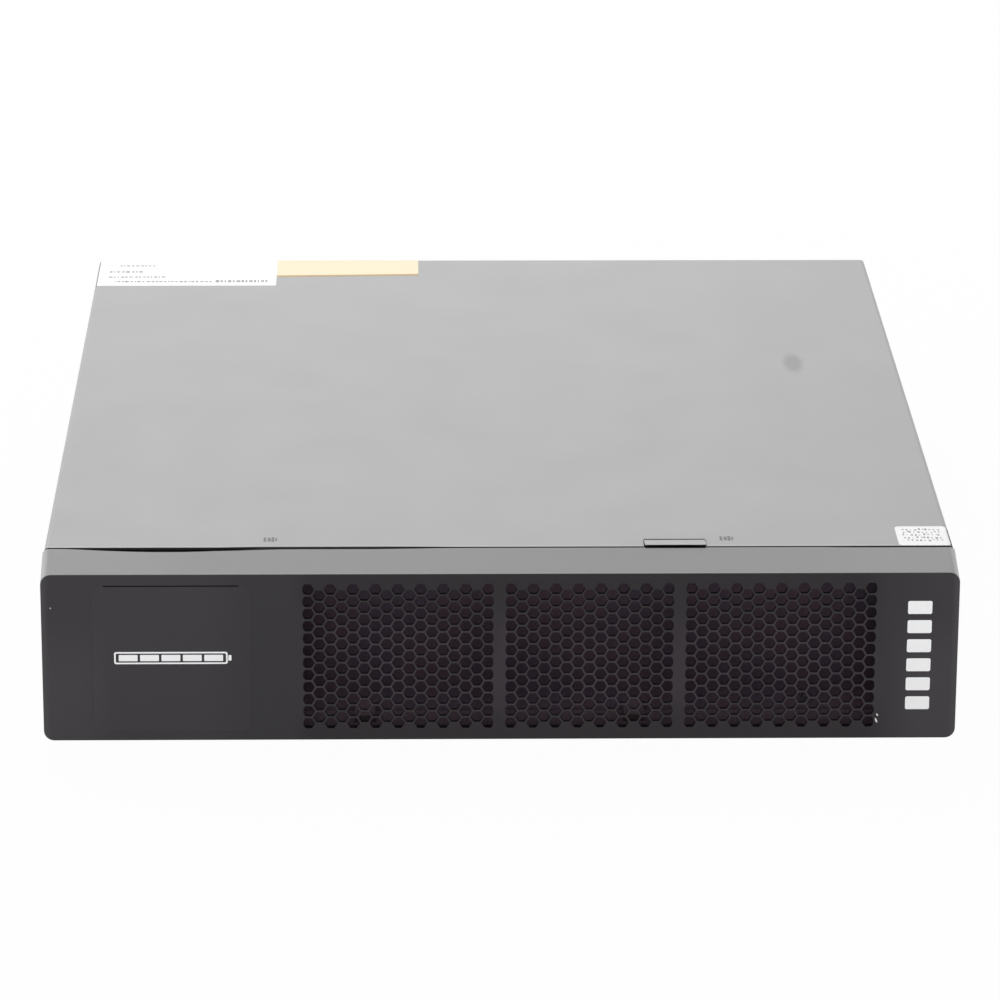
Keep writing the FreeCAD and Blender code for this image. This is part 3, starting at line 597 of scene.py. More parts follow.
@dataclass(frozen=True)
class Brushed(Finish):
    """Plated or bare metal with fine drawn lines along one axis."""

    drift: Point = (120.0, 3.0)
    uneven: float = 0.12
    grain_gloss: float = 0.16
    relief: Point = (0.2, 0.01)
    lines: Point3 = (2500.0, 90.0, 2500.0)
    stained: float = 0.6

    def surface(self, graph: Graph) -> Sockets:
        """Tarnish, drawn lines and their gloss.

        Args:
            graph: Node tree of the material.

        Returns:
            Sockets by their name on the shader.
        """
        drawn = graph.noise(graph.stretch(graph.place(), self.lines), 1.0)
        stain = graph.noise(graph.place(), *self.drift)
        return {
            "Base Color": self.tone(graph, self.stained * stain + (1 - self.stained) * drawn),
            "Roughness": self.roughness + drawn.swing(self.grain_gloss) + stain.swing(self.uneven),
            "Normal": graph.bump(drawn, *self.relief),
        }


@dataclass(frozen=True)
class Galvanised(Finish):
    """Zinc-coated sheet with its spangle."""

    uneven: float = 0.18
    spangle: float = 85.0
    bend_scale: float = 60.0
    bend: float = 0.008

    def surface(self, graph: Graph) -> Sockets:
        """Spangle tone and gloss.

        Args:
            graph: Node tree of the material.

        Returns:
            Sockets by their name on the shader.
        """
        place = graph.place()
        inputs = {"Vector": place, "Scale": self.bend_scale}
        wander = graph.node("ShaderNodeTexNoise", inputs=inputs, output="Color")
        shift = graph.stretch(wander, (self.bend,) * 3)
        bent = graph.node("ShaderNodeVectorMath", {"operation": "ADD"}, {0: place, 1: shift})
        crystal = graph.split(graph.cells(bent, self.spangle, "Color"))[0]
        rough = self.roughness + crystal.swing(self.uneven)
        return {"Base Color": self.tone(graph, crystal), "Roughness": rough}


@dataclass(frozen=True)
class Foam(Finish):
    """Closed-cell foam."""

    relief: Point = (0.6, 0.25)
    cell: float = 700.0

    def surface(self, graph: Graph) -> Sockets:
        """Cell tone and pits.

        Args:
            graph: Node tree of the material.

        Returns:
            Sockets by their name on the shader.
        """
        pits = graph.cells(graph.place(), self.cell)
        return {
            "Base Color": self.tone(graph, pits),
            "Roughness": self.roughness - self.uneven * pits,
            "Normal": graph.bump(pits, *self.relief),
        }


@dataclass(frozen=True)
class Laminate(Finish):
    """Circuit board: solder mask over wide copper tracks, with the tracks' sizes in metres."""

    grain: float = 900.0
    relief: Point = (0.5, 0.04)
    track: Rgb = (0.05, 0.2, 0.07)
    track_size: Point = (0.043, 0.0115)
    track_gap: float = 0.0009
    track_step: float = 0.35
    gap_gloss: float = 0.12

    def surface(self, graph: Graph) -> Sockets:
        """Mask colour, tracks and their edges.

        Args:
            graph: Node tree of the material.

        Returns:
            Sockets by their name on the shader.
        """
        place = graph.place()
        x, _, z = graph.split(place)
        width, height = self.track_size
        inputs = {"Vector": graph.node("ShaderNodeCombineXYZ", inputs={0: x, 1: z}), "Scale": 1.0}
        inputs |= {"Mortar Size": self.track_gap, "Brick Width": width, "Row Height": height}
        gaps = graph.node("ShaderNodeTexBrick", {"offset": self.track_step, "squash": 1.0}, inputs, "Fac")
        weave = graph.noise(place, self.grain)
        return {
            "Base Color": graph.mix(self.track, self.tone(graph, weave), gaps),
            "Roughness": self.roughness + weave.swing(self.grain_gloss) + self.gap_gloss * gaps,
            "Normal": graph.bump(1 - gaps, *self.relief),
        }


CASE_GREY = (0.415, 0.415, 0.418)
FRAME_GREY = (0.276, 0.276, 0.279)
PLATE_BLACK = (0.0208, 0.0184, 0.0212)
EVEN_LINES = (900.0, 900.0, 900.0)
COVER = CoverPaint("cover_paint", CASE_GREY, 0.55, specular=0.35, spread=0.015)
CASE = Paint("case_paint", CASE_GREY, 0.55, specular=0.35, spread=0.02)
BULKHEAD = BulkheadPaint("bulkhead_paint", (0.056, 0.0365, 0.047), 0.6, specular=0.08)
SCREW_PAINT = Paint("screw_paint", (0.042, 0.037, 0.04), 0.55, specular=0.3)
FRAME = SprayedMoulding("frame_plastic", FRAME_GREY, 0.6, specular=0.25, spread=0.02, grain=1800.0)
BEZEL = PlateMoulding("bezel_plastic", PLATE_BLACK, 0.5, specular=0.28, spread=0.08)
BLANK = PlateMoulding("blank_plastic", shaded(PLATE_BLACK, 1.1), 0.5, specular=0.28, spread=0.08)
INK = Finish("white_ink", (0.92, 0.92, 0.93), 0.45, spread=0.015)
CHIP = Finish("pale_chip", (0.8, 0.79, 0.78), 0.7, spread=0.05)
TRAY = Galvanised("tray_zinc", (0.6, 0.61, 0.62), 0.42, 1.0, spread=0.1)
BLOCK = Moulding("block_plastic", (0.06, 0.06, 0.065), 0.5, grain=1200.0)
TAB = Brushed("tab_tin", (0.7, 0.69, 0.66), 0.35, 1.0)
SLEEVE = Moulding("sleeve_nylon", (0.7, 0.7, 0.66), 0.45)
LEAD_RED = Moulding("lead_red", (0.45, 0.02, 0.02), 0.45, grain=900.0)
LEAD_BLACK = Moulding("lead_black", (0.02, 0.02, 0.021), 0.45, grain=900.0)
FOAM = Foam("foam", (0.035, 0.035, 0.037), 0.9, specular=0.2, spread=0.3)
BOARD = Laminate("board_mask", (0.015, 0.1, 0.04), 0.35)
TERMINAL = Brushed("terminal_brass", (0.7, 0.55, 0.27), 0.34, 1.0)
FUSE = Moulding("fuse_glaze", (0.75, 0.73, 0.68), 0.2)
SOCKET = Moulding("socket_plastic", (0.024, 0.024, 0.026), 0.42, grain=1500.0)
CONTACT = Brushed("contact_brass", (0.78, 0.62, 0.32), 0.28, 1.0)
ZINC = Brushed("zinc_plate", (0.66, 0.66, 0.67), 0.3, 1.0, lines=EVEN_LINES)
BLACK_ZINC = Brushed("black_zinc", (0.05, 0.05, 0.052), 0.4, 0.6, lines=EVEN_LINES)
WHITE_FILM = FilmStock("white_film", (0.93, 0.93, 0.935), 0.4, spread=0.015)
YELLOW_FILM = FilmStock("yellow_film", (0.85, 0.74, 0.49), 0.42, spread=0.015)
OCHRE = FilmStock("yellow_film_edge", (0.47, 0.28, 0.055), 0.5, spread=0.1)
GREY_PRINT = Finish("grey_print", (0.3, 0.3, 0.31), 0.5, spread=0.2)
DARK_PRINT = Finish("dark_print", (0.08, 0.08, 0.082), 0.5, spread=0.2)
# Painted shadow, laid as strips beside the labels where the cover's folds lie in shade
EDGE_SHADOW = Finish("edge_shadow", (0.03, 0.03, 0.03), 0.7, specular=0.2, spread=0.2)


# Flat outlines and meshes

WELD_WITHIN = 2e-6
SHARP_ANGLE = math.radians(38)
DIGITS = 5
MATCH_DIGITS = 3
FEW_STEPS = 2
HEX_SIDES = 6
HOLE_POINTS = 3


def circle(count: int) -> Loop:
    """Points of a circle of radius 1."""
    turns = [step * math.tau / count for step in range(count)]
    return [(math.cos(turn), math.sin(turn)) for turn in turns]


def rounded(u: float, v: float, width: float, height: float, radius: float, steps: int = 6) -> Loop:
    """Rounded rectangle about (u, v).

    Args:
        u: Middle across.
        v: Middle upwards.
        width: Size across.
        height: Size upwards.
        radius: Corner radius.
        steps: Segments of each corner.

    Returns:
        Points in turning order.
    """
    loop = []
    for quarter, (side, level) in enumerate(((1, 1), (-1, 1), (-1, -1), (1, -1))):
        cu = u + side * (width / 2 - radius)
        cv = v + level * (height / 2 - radius)
        for step in range(steps + 1):
            turn = (quarter + step / steps) * math.pi / 2
            loop.append((cu + radius * math.cos(turn), cv + radius * math.sin(turn)))
    return loop


def rounding(radius: float, steps: int = 4) -> Loop:
    """Inset and depth of each step of a rounded front edge."""
    turns = [step * math.pi / 2 / steps for step in range(steps + 1)]
    return [(radius * (1 - math.sin(turn)), radius * (1 - math.cos(turn))) for turn in turns]


def edges_of(*loops: Sequence[Point]) -> Segments:
    """Segments of closed loops."""
    return [(loop[index - 1], point) for loop in loops for index, point in enumerate(loop)]


def inside(points: np.ndarray, segments: Segments) -> np.ndarray:
    """Even-odd test of points against closed outlines.

    Args:
        points: One point a row.
        segments: Segments of the outlines, in any order.

    Returns:
        One truth value for each point.
    """
    ends = np.array(segments, float)
    x, y = points[:, :1], points[:, 1:]
    x0, y0 = ends[None, :, 0, 0], ends[None, :, 0, 1]
    x1, y1 = ends[None, :, 1, 0], ends[None, :, 1, 1]
    spans = (y0 > y) != (y1 > y)
    rise = np.where(y1 == y0, 1.0, y1 - y0)
    return (spans & (x < x0 + (y - y0) * (x1 - x0) / rise)).sum(1) % 2 == 1


class Shape:
    """A mesh under construction, in millimetres."""

    def __init__(self) -> None:
        """Start with no points and no faces."""
        self.points: list[Point3] = []
        self.faces: list[tuple[int, ...]] = []
        self.tags: list[int] = []

    def add(self, points: Iterable[Point3]) -> list[int]:
        """Add points and give their numbers."""
        first = len(self.points)
        self.points.extend(points)
        return list(range(first, len(self.points)))

    def face(self, corners: Sequence[int], tag: int = 0) -> None:
        """Add one face that wears the finish with that number."""
        self.faces.append(tuple(corners))
        self.tags.append(tag)

    def loft(self, *rings: Sequence[int]) -> None:
        """Add quads between closed rings of equal count, each with the next."""
        for first, second in zip(rings, rings[1:]):
            for index in range(len(first)):
                self.face((first[index - 1], first[index], second[index], second[index - 1]))

    def patch(
        self,
        outer: Sequence[Point],
        holes: Sequence[Segments],
        place: Callable[[Point], Point3],
        prints: Sequence[tuple[Segments, int]] = (),
    ) -> None:
        """Fill a flat outline with triangles.

        Args:
            outer: Outline of the area.
            holes: Segments of the outlines that stay open.
            place: Turns a flat point into a point of the mesh.
            prints: Segments of printed outlines with the number of their finish.
        """
        segments = edges_of(outer)
        for group in (*holes, *(group for group, _ in prints)):
            segments += group
        numbers: dict[Point, int] = {}
        links = []
        for pair in segments:
            keys = [(round(u, DIGITS), round(v, DIGITS)) for u, v in pair]
            links.append(tuple(numbers.setdefault(key, len(numbers)) for key in keys))
        result = delaunay_2d_cdt([Vector(key) for key in numbers], links, [], 0, 10.0**-DIGITS)
        flat = np.array([tuple(point) for point in result[0]])
        triangles = [list(corners) for corners in result[2]]
        middles = np.array([flat[corners].mean(0) for corners in triangles])
        keep = inside(middles, edges_of(outer))
        for group in holes:
            keep &= ~inside(middles, group)
        tags = np.zeros(len(triangles), int)
        for group, tag in prints:
            tags[inside(middles, group)] = tag
        indices = self.add(place((float(u), float(v))) for u, v in flat)
        for corners, kept, tag in zip(triangles, keep, tags):
            if kept:
                self.face([indices[corner] for corner in corners], int(tag))

    def collar(self, outer: Loop, inner: Loop, place: Placing, low: float, high: float) -> None:
        """Add a closed ring between two outlines of equal count and two levels."""
        corners = ((outer, low), (outer, high), (inner, high), (inner, low), (outer, low))
        self.loft(*[self.add(place(point, level) for point in loop) for loop, level in corners])

    def block(self, loop: Loop, place: Placing, low: float, high: float) -> None:
        """Add a closed prism over an outline.

        Args:
            loop: The outline.
            place: Turns a flat point and a level into a point of the mesh.
            low: Level of one end.
            high: Level of the other end.
        """
        rings = [self.add(place(point, level) for point in loop) for level in (low, high)]
        self.loft(*rings)
        for ring in rings:
            self.face(ring)

    def piece(self, name: str, finishes: Sequence[Finish], places: Sequence[Matrix] = ()) -> Piece:
        """Make the object.

        Args:
            name: Name of the piece.
            finishes: Finishes in the order of the face numbers.
            places: Where copies of the shape stand, in metres; none leaves it where it is.

        Returns:
            The object, linked to the scene and riding on the body.
        """
        mesh = bpy.data.meshes.new(name)
        mesh.from_pydata([Vector(point) * MM for point in self.points], [], self.faces)
        mesh.polygons.foreach_set("material_index", self.tags)
        work = bmesh.new()
        work.from_mesh(mesh)
        bmesh.ops.remove_doubles(work, verts=work.verts, dist=WELD_WITHIN)
        bmesh.ops.delete(work, geom=[vert for vert in work.verts if not vert.link_faces], context="VERTS")
        bmesh.ops.recalc_face_normals(work, faces=work.faces)
        if places:
            single = work.copy()
            work.clear()
            for place in places:
                copy = bpy.data.meshes.new("copy")
                single.to_mesh(copy)
                copy.transform(place)
                work.from_mesh(copy)
                bpy.data.meshes.remove(copy)
            single.free()
        work.to_mesh(mesh)
        work.free()
        for finish in finishes:
            mesh.materials.append(finish.material())
        mesh.shade_smooth()
        mesh.set_sharp_from_angle(angle=SHARP_ANGLE)
        made = bpy.data.objects.new(name, mesh)
        bpy.context.scene.collection.objects.link(made)
        even = made.modifiers.new("even_normals", "WEIGHTED_NORMAL")
        even.keep_sharp = True
        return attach(made, BODY)


# CAD nodes that stay

JOIN_WITHIN = 1e-6
FLAT_ANGLE = math.radians(0.5)
EDGE_ANGLE = math.radians(40)
EDGE_STEPS = 2


def wear(finish: Finish, *nodes: str) -> Pieces:
    """Dress CAD nodes in a finish.

    Args:
        finish: The finish.
        nodes: Names of the nodes.

    Returns:
        The objects of the nodes.
    """
    objects = [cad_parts[node] for node in nodes]
    for node in objects:
        node.data.materials.clear()
        node.data.materials.append(finish.material())
    return objects


def soften(width: float, *nodes: str) -> None:
    """Round the sharp edges of CAD nodes.

    Args:
        width: Width of the rounding in millimetres.
        nodes: Names of the nodes.
    """
    for node in nodes:
        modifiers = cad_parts[node].modifiers
        joined = modifiers.new("joined", "WELD")
        joined.merge_threshold = JOIN_WITHIN
        flat = modifiers.new("flat", "DECIMATE")
        flat.decimate_type = "DISSOLVE"
        flat.angle_limit = FLAT_ANGLE
        edge = modifiers.new("edge", "BEVEL")
        edge.width = width * MM
        edge.segments = EDGE_STEPS
        edge.limit_method = "ANGLE"
        edge.angle_limit = EDGE_ANGLE
        edge.use_clamp_overlap = False
        edge.face_strength_mode = "FSTR_ALL"
        even = modifiers.new("even_normals", "WEIGHTED_NORMAL")
        even.keep_sharp = False
        even.use_face_influence = True


def islands(node: str) -> list[tuple[Vector, Vector]]:
    """Boxes of the separate solids of a CAD node.

    Args:
        node: Name of the node.

    Returns:
        Lowest and highest corner of each solid, in metres.
    """
    work = bmesh.new()
    work.from_mesh(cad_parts[node].data)
    bmesh.ops.remove_doubles(work, verts=work.verts, dist=JOIN_WITHIN)
    boxes = []
    seen: set[bmesh.types.BMVert] = set()
    for start in work.verts:
        if start in seen:
            continue
        group, front = {start}, [start]
        while front:
            vert = front.pop()
            near = {edge.other_vert(vert) for edge in vert.link_edges} - group
            group |= near
            front += near
        seen |= group
        spans = [[vert.co[axis.value] for vert in group] for axis in Axis]
        boxes.append((Vector([min(span) for span in spans]), Vector([max(span) for span in spans])))
    work.free()
    return boxes


# Sub-assemblies


@dataclass
class FrontPlate:
    """Black front plate with its honeycomb, blank insert and print, in millimetres."""

    face_y: float = -265.0
    width: float = 438.0
    low: float = 0.5
    top: float = 84.9
    corner: float = 5.0
    corner_steps: int = 8
    thick: float = 2.4
    rim_thick: float = 0.6
    edge: float = 0.3
    skirt_inset: float = 2.4
    skirt_wall: float = 1.6
    skirt_deep: float = 6.0
    skirt_corner: float = 1.0
    pitch: float = 6.2126
    web: float = 1.0
    columns: int = 51
    rows: int = 12
    solid_columns: tuple[int, ...] = (17, 33)
    trim: float = 0.6
    grille: Point = (42.5, 43.1)
    hole_round: float = 0.6
    hole_edge: float = 0.22
    blank: Point = (-157.0, 42.2)
    blank_size: Point = (76.0, 74.6)
    blank_corner: float = 5.0
    blank_steps: int = 6
    blank_gap: float = 0.03
    blank_edge: float = 0.03
    mouth_edge: float = 0.015
    mouth_share: float = 0.3
    pry: Point = (64.5, 0.6)
    ledge: Point = (1.5, 2.0)
    ledge_deep: float = 1.4
    rib: float = 2.0
    rib_round: float = 0.3
    rib_sunk: float = 0.2
    # Print, with width, height and corner radius of each figure
    stack: Point = (200.3, 18.6)
    stack_bar: Point3 = (11.6, 6.6, 0.8)
    stack_step: float = 9.76
    stack_bars: int = 6
    sign: Point = (-156.7, 42.75)
    sign_shift: float = -0.8
    sign_frame: tuple[Point3, ...] = ((54.2, 6.2, 1.0), (52.6, 4.6, 0.5))
    sign_nub: Point3 = (1.5, 2.8, 0.3)
    sign_nub_shift: float = 27.35
    sign_bar: Point3 = (9.0, 3.2, 0.3)
    sign_bar_shift: float = -21.2
    sign_bar_step: float = 10.2
    sign_bars: int = 5
    print_steps: int = 3
    # Place, half sizes and lean of each chip
    chips: tuple[tuple[float, ...], ...] = (
        (-214.4, 68.2, 0.2, 0.38, 0.2),
        (181.25, 12.5, 0.38, 0.68, -0.5),
        (180.8, 9.65, 0.45, 1.2, -0.35),
    )
    chip_corners: int = 8

    def at(self, point: Point, depth: float = 0.0) -> Point3:
        """Place a flat point at a depth behind the face."""
        return point[0], self.face_y + depth, point[1]

    def ring(self, shape: Shape, loop: Loop, depth: float) -> list[int]:
        """Add an outline at a depth behind the face."""
        return shape.add(self.at(point, depth) for point in loop)

    def outline(self, inset: float, corner: float | None = None) -> Loop:
        """Outline of the plate, drawn in by an inset.

        Args:
            inset: How far the outline lies inside the plate's edge.
            corner: Corner radius, if it doesn't follow from the inset.

        Returns:
            Points in turning order.
        """
        radius = self.corner - inset if corner is None else corner
        size = (self.width - 2 * inset, self.top - self.low - 2 * inset)
        return rounded(0, (self.low + self.top) / 2, *size, radius, self.corner_steps)

    def hollow(self) -> Loop:
        """Inner outline of the skirt."""
        return self.outline(self.skirt_inset + self.skirt_wall, self.skirt_corner)

    def blank_outline(self, grow: float, corner: float) -> Loop:
        """Outline of the display opening, grown all round."""
        width, height = self.blank_size
        return rounded(*self.blank, width + 2 * grow, height + 2 * grow, corner, self.blank_steps)

    def insert_outline(self, inset: float) -> Loop:
        """Outline of the blank insert with its pry slot, drawn in by an inset.

        Args:
            inset: How far the outline lies inside the insert's edge.

        Returns:
            Points in turning order.
        """
        x, z = self.blank
        drawn = self.blank_gap + inset
        loop = self.blank_outline(-drawn, self.blank_corner - drawn)
        top = z + self.blank_size[1] / 2
        half = self.pry[0] / 2 + inset
        floor = top - self.pry[1] - inset
        levels = ((half, top - drawn), (half, floor), (-half, floor), (-half, top - drawn))
        quarter = self.blank_steps + 1
        return loop[:quarter] + [(x + side, level) for side, level in levels] + loop[quarter:]

    def column_x(self, column: int) -> float:
        """Middle of a column of the grille."""
        return self.grille[0] + (column - (self.columns - 1) / 2) * (self.pitch * math.sqrt(3) / 2)

    def cells(self) -> Iterator[tuple[float, float, bool, bool]]:
        """Middle of every hole, and whether its left or right corner is trimmed.

        Yields:
            Middle across, middle upwards, left trim and right trim.
        """
        ends = {-1, *self.solid_columns, self.columns}
        for column in range(self.columns):
            if column in self.solid_columns:
                continue
            count = self.rows - column % 2
            for row in range(count):
                z = self.grille[1] + (row - (count - 1) / 2) * self.pitch
                yield self.column_x(column), z, column - 1 in ends, column + 1 in ends

    def hole(self, x: float, z: float, trims: tuple[bool, bool], grow: float) -> Loop:
        """Outline of one hole, three points to a corner.

        Args:
            x: Middle across.
            z: Middle upwards.
            trims: Whether the left and the right corner are trimmed.
            grow: Widening all round.

        Returns:
            Points in turning order from the right corner.
        """
        reach = ((self.pitch - self.web) / 2 + grow) / math.cos(math.pi / 6)
        cut = self.trim + grow * (1 / math.cos(math.pi / 6) - 1)
        radius = self.hole_round + grow
        back = radius / math.tan(math.pi / 3)
        inward = radius / math.sin(math.pi / 3) - radius
        trimmed = {0: trims[1], 3: trims[0]}
        loop = []
        for step, (cosine, sine) in enumerate(circle(HEX_SIDES)):
            if trimmed.get(step):
                side = 1 if step == 0 else -1
                rise = side * cut * math.tan(math.pi / 3)
                loop += [(x + side * (reach - cut), z + level * rise) for level in (-1, 0, 1)]
                continue
            turn = step * math.pi / 3
            before, after = turn - 2 * math.pi / 3, turn + 2 * math.pi / 3
            cu, cv = x + reach * cosine, z + reach * sine
            loop.append((cu + back * math.cos(before), cv + back * math.sin(before)))
            loop.append((cu - inward * cosine, cv - inward * sine))
            loop.append((cu + back * math.cos(after), cv + back * math.sin(after)))
        return loop

    def cell_corners(self, x: float, z: float) -> Loop:
        """Corners of the hexagonal cell around a hole."""
        reach = self.pitch / math.sqrt(3)
        return [(x + reach * cosine, z + reach * sine) for cosine, sine in circle(HEX_SIDES)]

    def field_edges(self) -> Segments:
        """Outer segments of the fields of cells.

        Returns:
            Segments that belong to one cell only.
        """
        seen: dict[tuple[Point, ...], Segments] = {}
        for x, z, _, _ in self.cells():
            for pair in edges_of(self.cell_corners(x, z)):
                key = tuple(sorted((round(u, MATCH_DIGITS), round(v, MATCH_DIGITS)) for u, v in pair))
                seen.setdefault(key, []).append(pair)
        return [pairs[0] for pairs in seen.values() if len(pairs) == 1]

    def add_cells(self, shape: Shape) -> None:
        """Add the web around every hole: front, rounded edge, wall and back.

        Args:
            shape: The plate under construction.
        """
        bevel = self.hole_edge
        half = bevel * (1 - math.sqrt(0.5))
        levels = ((bevel, 0.0), (half, half), (0.0, bevel), (0.0, self.thick))
        for x, z, left, right in self.cells():
            holes = [(self.hole(x, z, (left, right), grow), depth) for grow, depth in levels]
            rings = [self.ring(shape, loop, depth) for loop, depth in holes]
            shape.loft(*rings)
            for ring, depth in ((rings[0], 0.0), (rings[-1], self.thick)):
                corners = self.ring(shape, self.cell_corners(x, z), depth)
                for step in range(HEX_SIDES):
                    start = HOLE_POINTS * step
                    first, middle, last = ring[start : start + HOLE_POINTS]
                    following = (step + 1) % HEX_SIDES
                    shape.face((corners[step], corners[following], ring[HOLE_POINTS * following], last))
                    shape.face((corners[step], middle, first))
                    shape.face((corners[step], last, middle))

    def level_stack(self) -> list[Loop]:
        """Plain upright stack of bars beside the grille."""
        x, z = self.stack
        levels = [z + self.stack_step * bar for bar in range(self.stack_bars)]
        return [rounded(x, level, *self.stack_bar, self.print_steps) for level in levels]

    def specks(self) -> list[Loop]:
        """Small pale chips in the face.

        Returns:
            One outline for each chip.
        """
        loops = []
        for x, z, wide, high, lean in self.chips:
            ring = circle(self.chip_corners)
            loops.append([(x + wide * u + lean * high * v, z + high * v) for u, v in ring])
        return loops

    def battery_sign(self) -> list[list[Loop]]:
        """Plain battery outline with five level bars.

        Returns:
            Groups of loops, each printed as one figure.
        """
        x, z = self.sign
        first = x + self.sign_bar_shift
        middles = [first + self.sign_bar_step * bar for bar in range(self.sign_bars)]
        outline = [rounded(x + self.sign_shift, z, *size, self.print_steps) for size in self.sign_frame]
        nub = rounded(x + self.sign_nub_shift, z, *self.sign_nub, self.print_steps)
        bars = [rounded(middle, z, *self.sign_bar, self.print_steps) for middle in middles]
        return [outline, *[[loop] for loop in (nub, *bars)]]

    def build_plate(self) -> Piece:
        """Build the plate.

        Returns:
            The piece that stands for the moulded front plate.
        """
        shape = Shape()
        self.add_cells(shape)
        fields = self.field_edges()
        bevel, corner = self.mouth_edge, self.blank_corner
        prints = [(edges_of(loop), 1) for loop in self.level_stack()]
        prints += [(edges_of(loop), 2) for loop in self.specks()]
        openings = [fields, edges_of(self.blank_outline(bevel, corner + bevel))]
        shape.patch(self.outline(self.edge), openings, self.at, prints)
        openings = [fields, edges_of(self.blank_outline(0, corner))]
        shape.patch(self.hollow(), openings, lambda point: self.at(point, self.thick))
        far = self.thick + self.skirt_deep
        rim = rounding(self.edge)
        rim += [(0.0, self.rim_thick), (self.skirt_inset, self.rim_thick), (self.skirt_inset, far)]
        rings = [self.ring(shape, self.outline(inset), depth) for inset, depth in rim]
        rings += [self.ring(shape, self.hollow(), depth) for depth in (far, self.thick)]
        shape.loft(*rings)
        part = self.mouth_share * bevel
        steps = ((bevel, 0.0), (part, part), (0.0, bevel), (0.0, self.thick))
        mouth = [self.ring(shape, self.blank_outline(grow, corner + grow), depth) for grow, depth in steps]
        shape.loft(*mouth)
        self.add_back(shape)
        plate = shape.piece("front_plate", (BEZEL, INK, CHIP))
        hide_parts("front_bezel")
        return plate

    def add_back(self, shape: Shape) -> None:
        """Add the ledge and the ribs behind the plate.

        Args:
            shape: The plate under construction.
        """
        inward, outward = self.ledge
        ring, opening = (self.blank_outline(grow, self.blank_corner) for grow in (outward, -inward))
        shape.collar(ring, opening, self.at, self.thick, self.thick + self.ledge_deep)
        height = self.top - self.low - 2 * (self.skirt_inset + self.skirt_wall)
        for column in self.solid_columns:
            x = self.column_x(column)
            bar = rounded(x, (self.low + self.top) / 2, self.rib, height, self.rib_round, FEW_STEPS)
            shape.block(bar, self.at, self.thick - self.rib_sunk, self.thick + self.skirt_deep)

    def build_blank(self) -> Piece:
        """Build the blank insert.

        Returns:
            The piece that stands for the insert.
        """
        shape = Shape()
        rim = [*rounding(self.blank_edge), (0.0, self.thick)]
        rings = [self.ring(shape, self.insert_outline(inset), depth) for inset, depth in rim]
        shape.loft(*rings)
        shape.face(rings[-1])
        prints = [(edges_of(*loops), 1) for loops in self.battery_sign()]
        shape.patch(self.insert_outline(self.blank_edge), [], self.at, prints)
        insert = shape.piece("blank_insert", (BLANK, INK))
        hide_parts("display_blank")
        return insert

    def build(self) -> Pieces:
        """Build the plate and its insert."""
        return [self.build_plate(), self.build_blank()]


def varied(least: float, spread: float, index: int, jump: float) -> float:
    """A size that jumps about within a spread from one index to the next, the same each run."""
    return least + spread * (index * jump % 1)


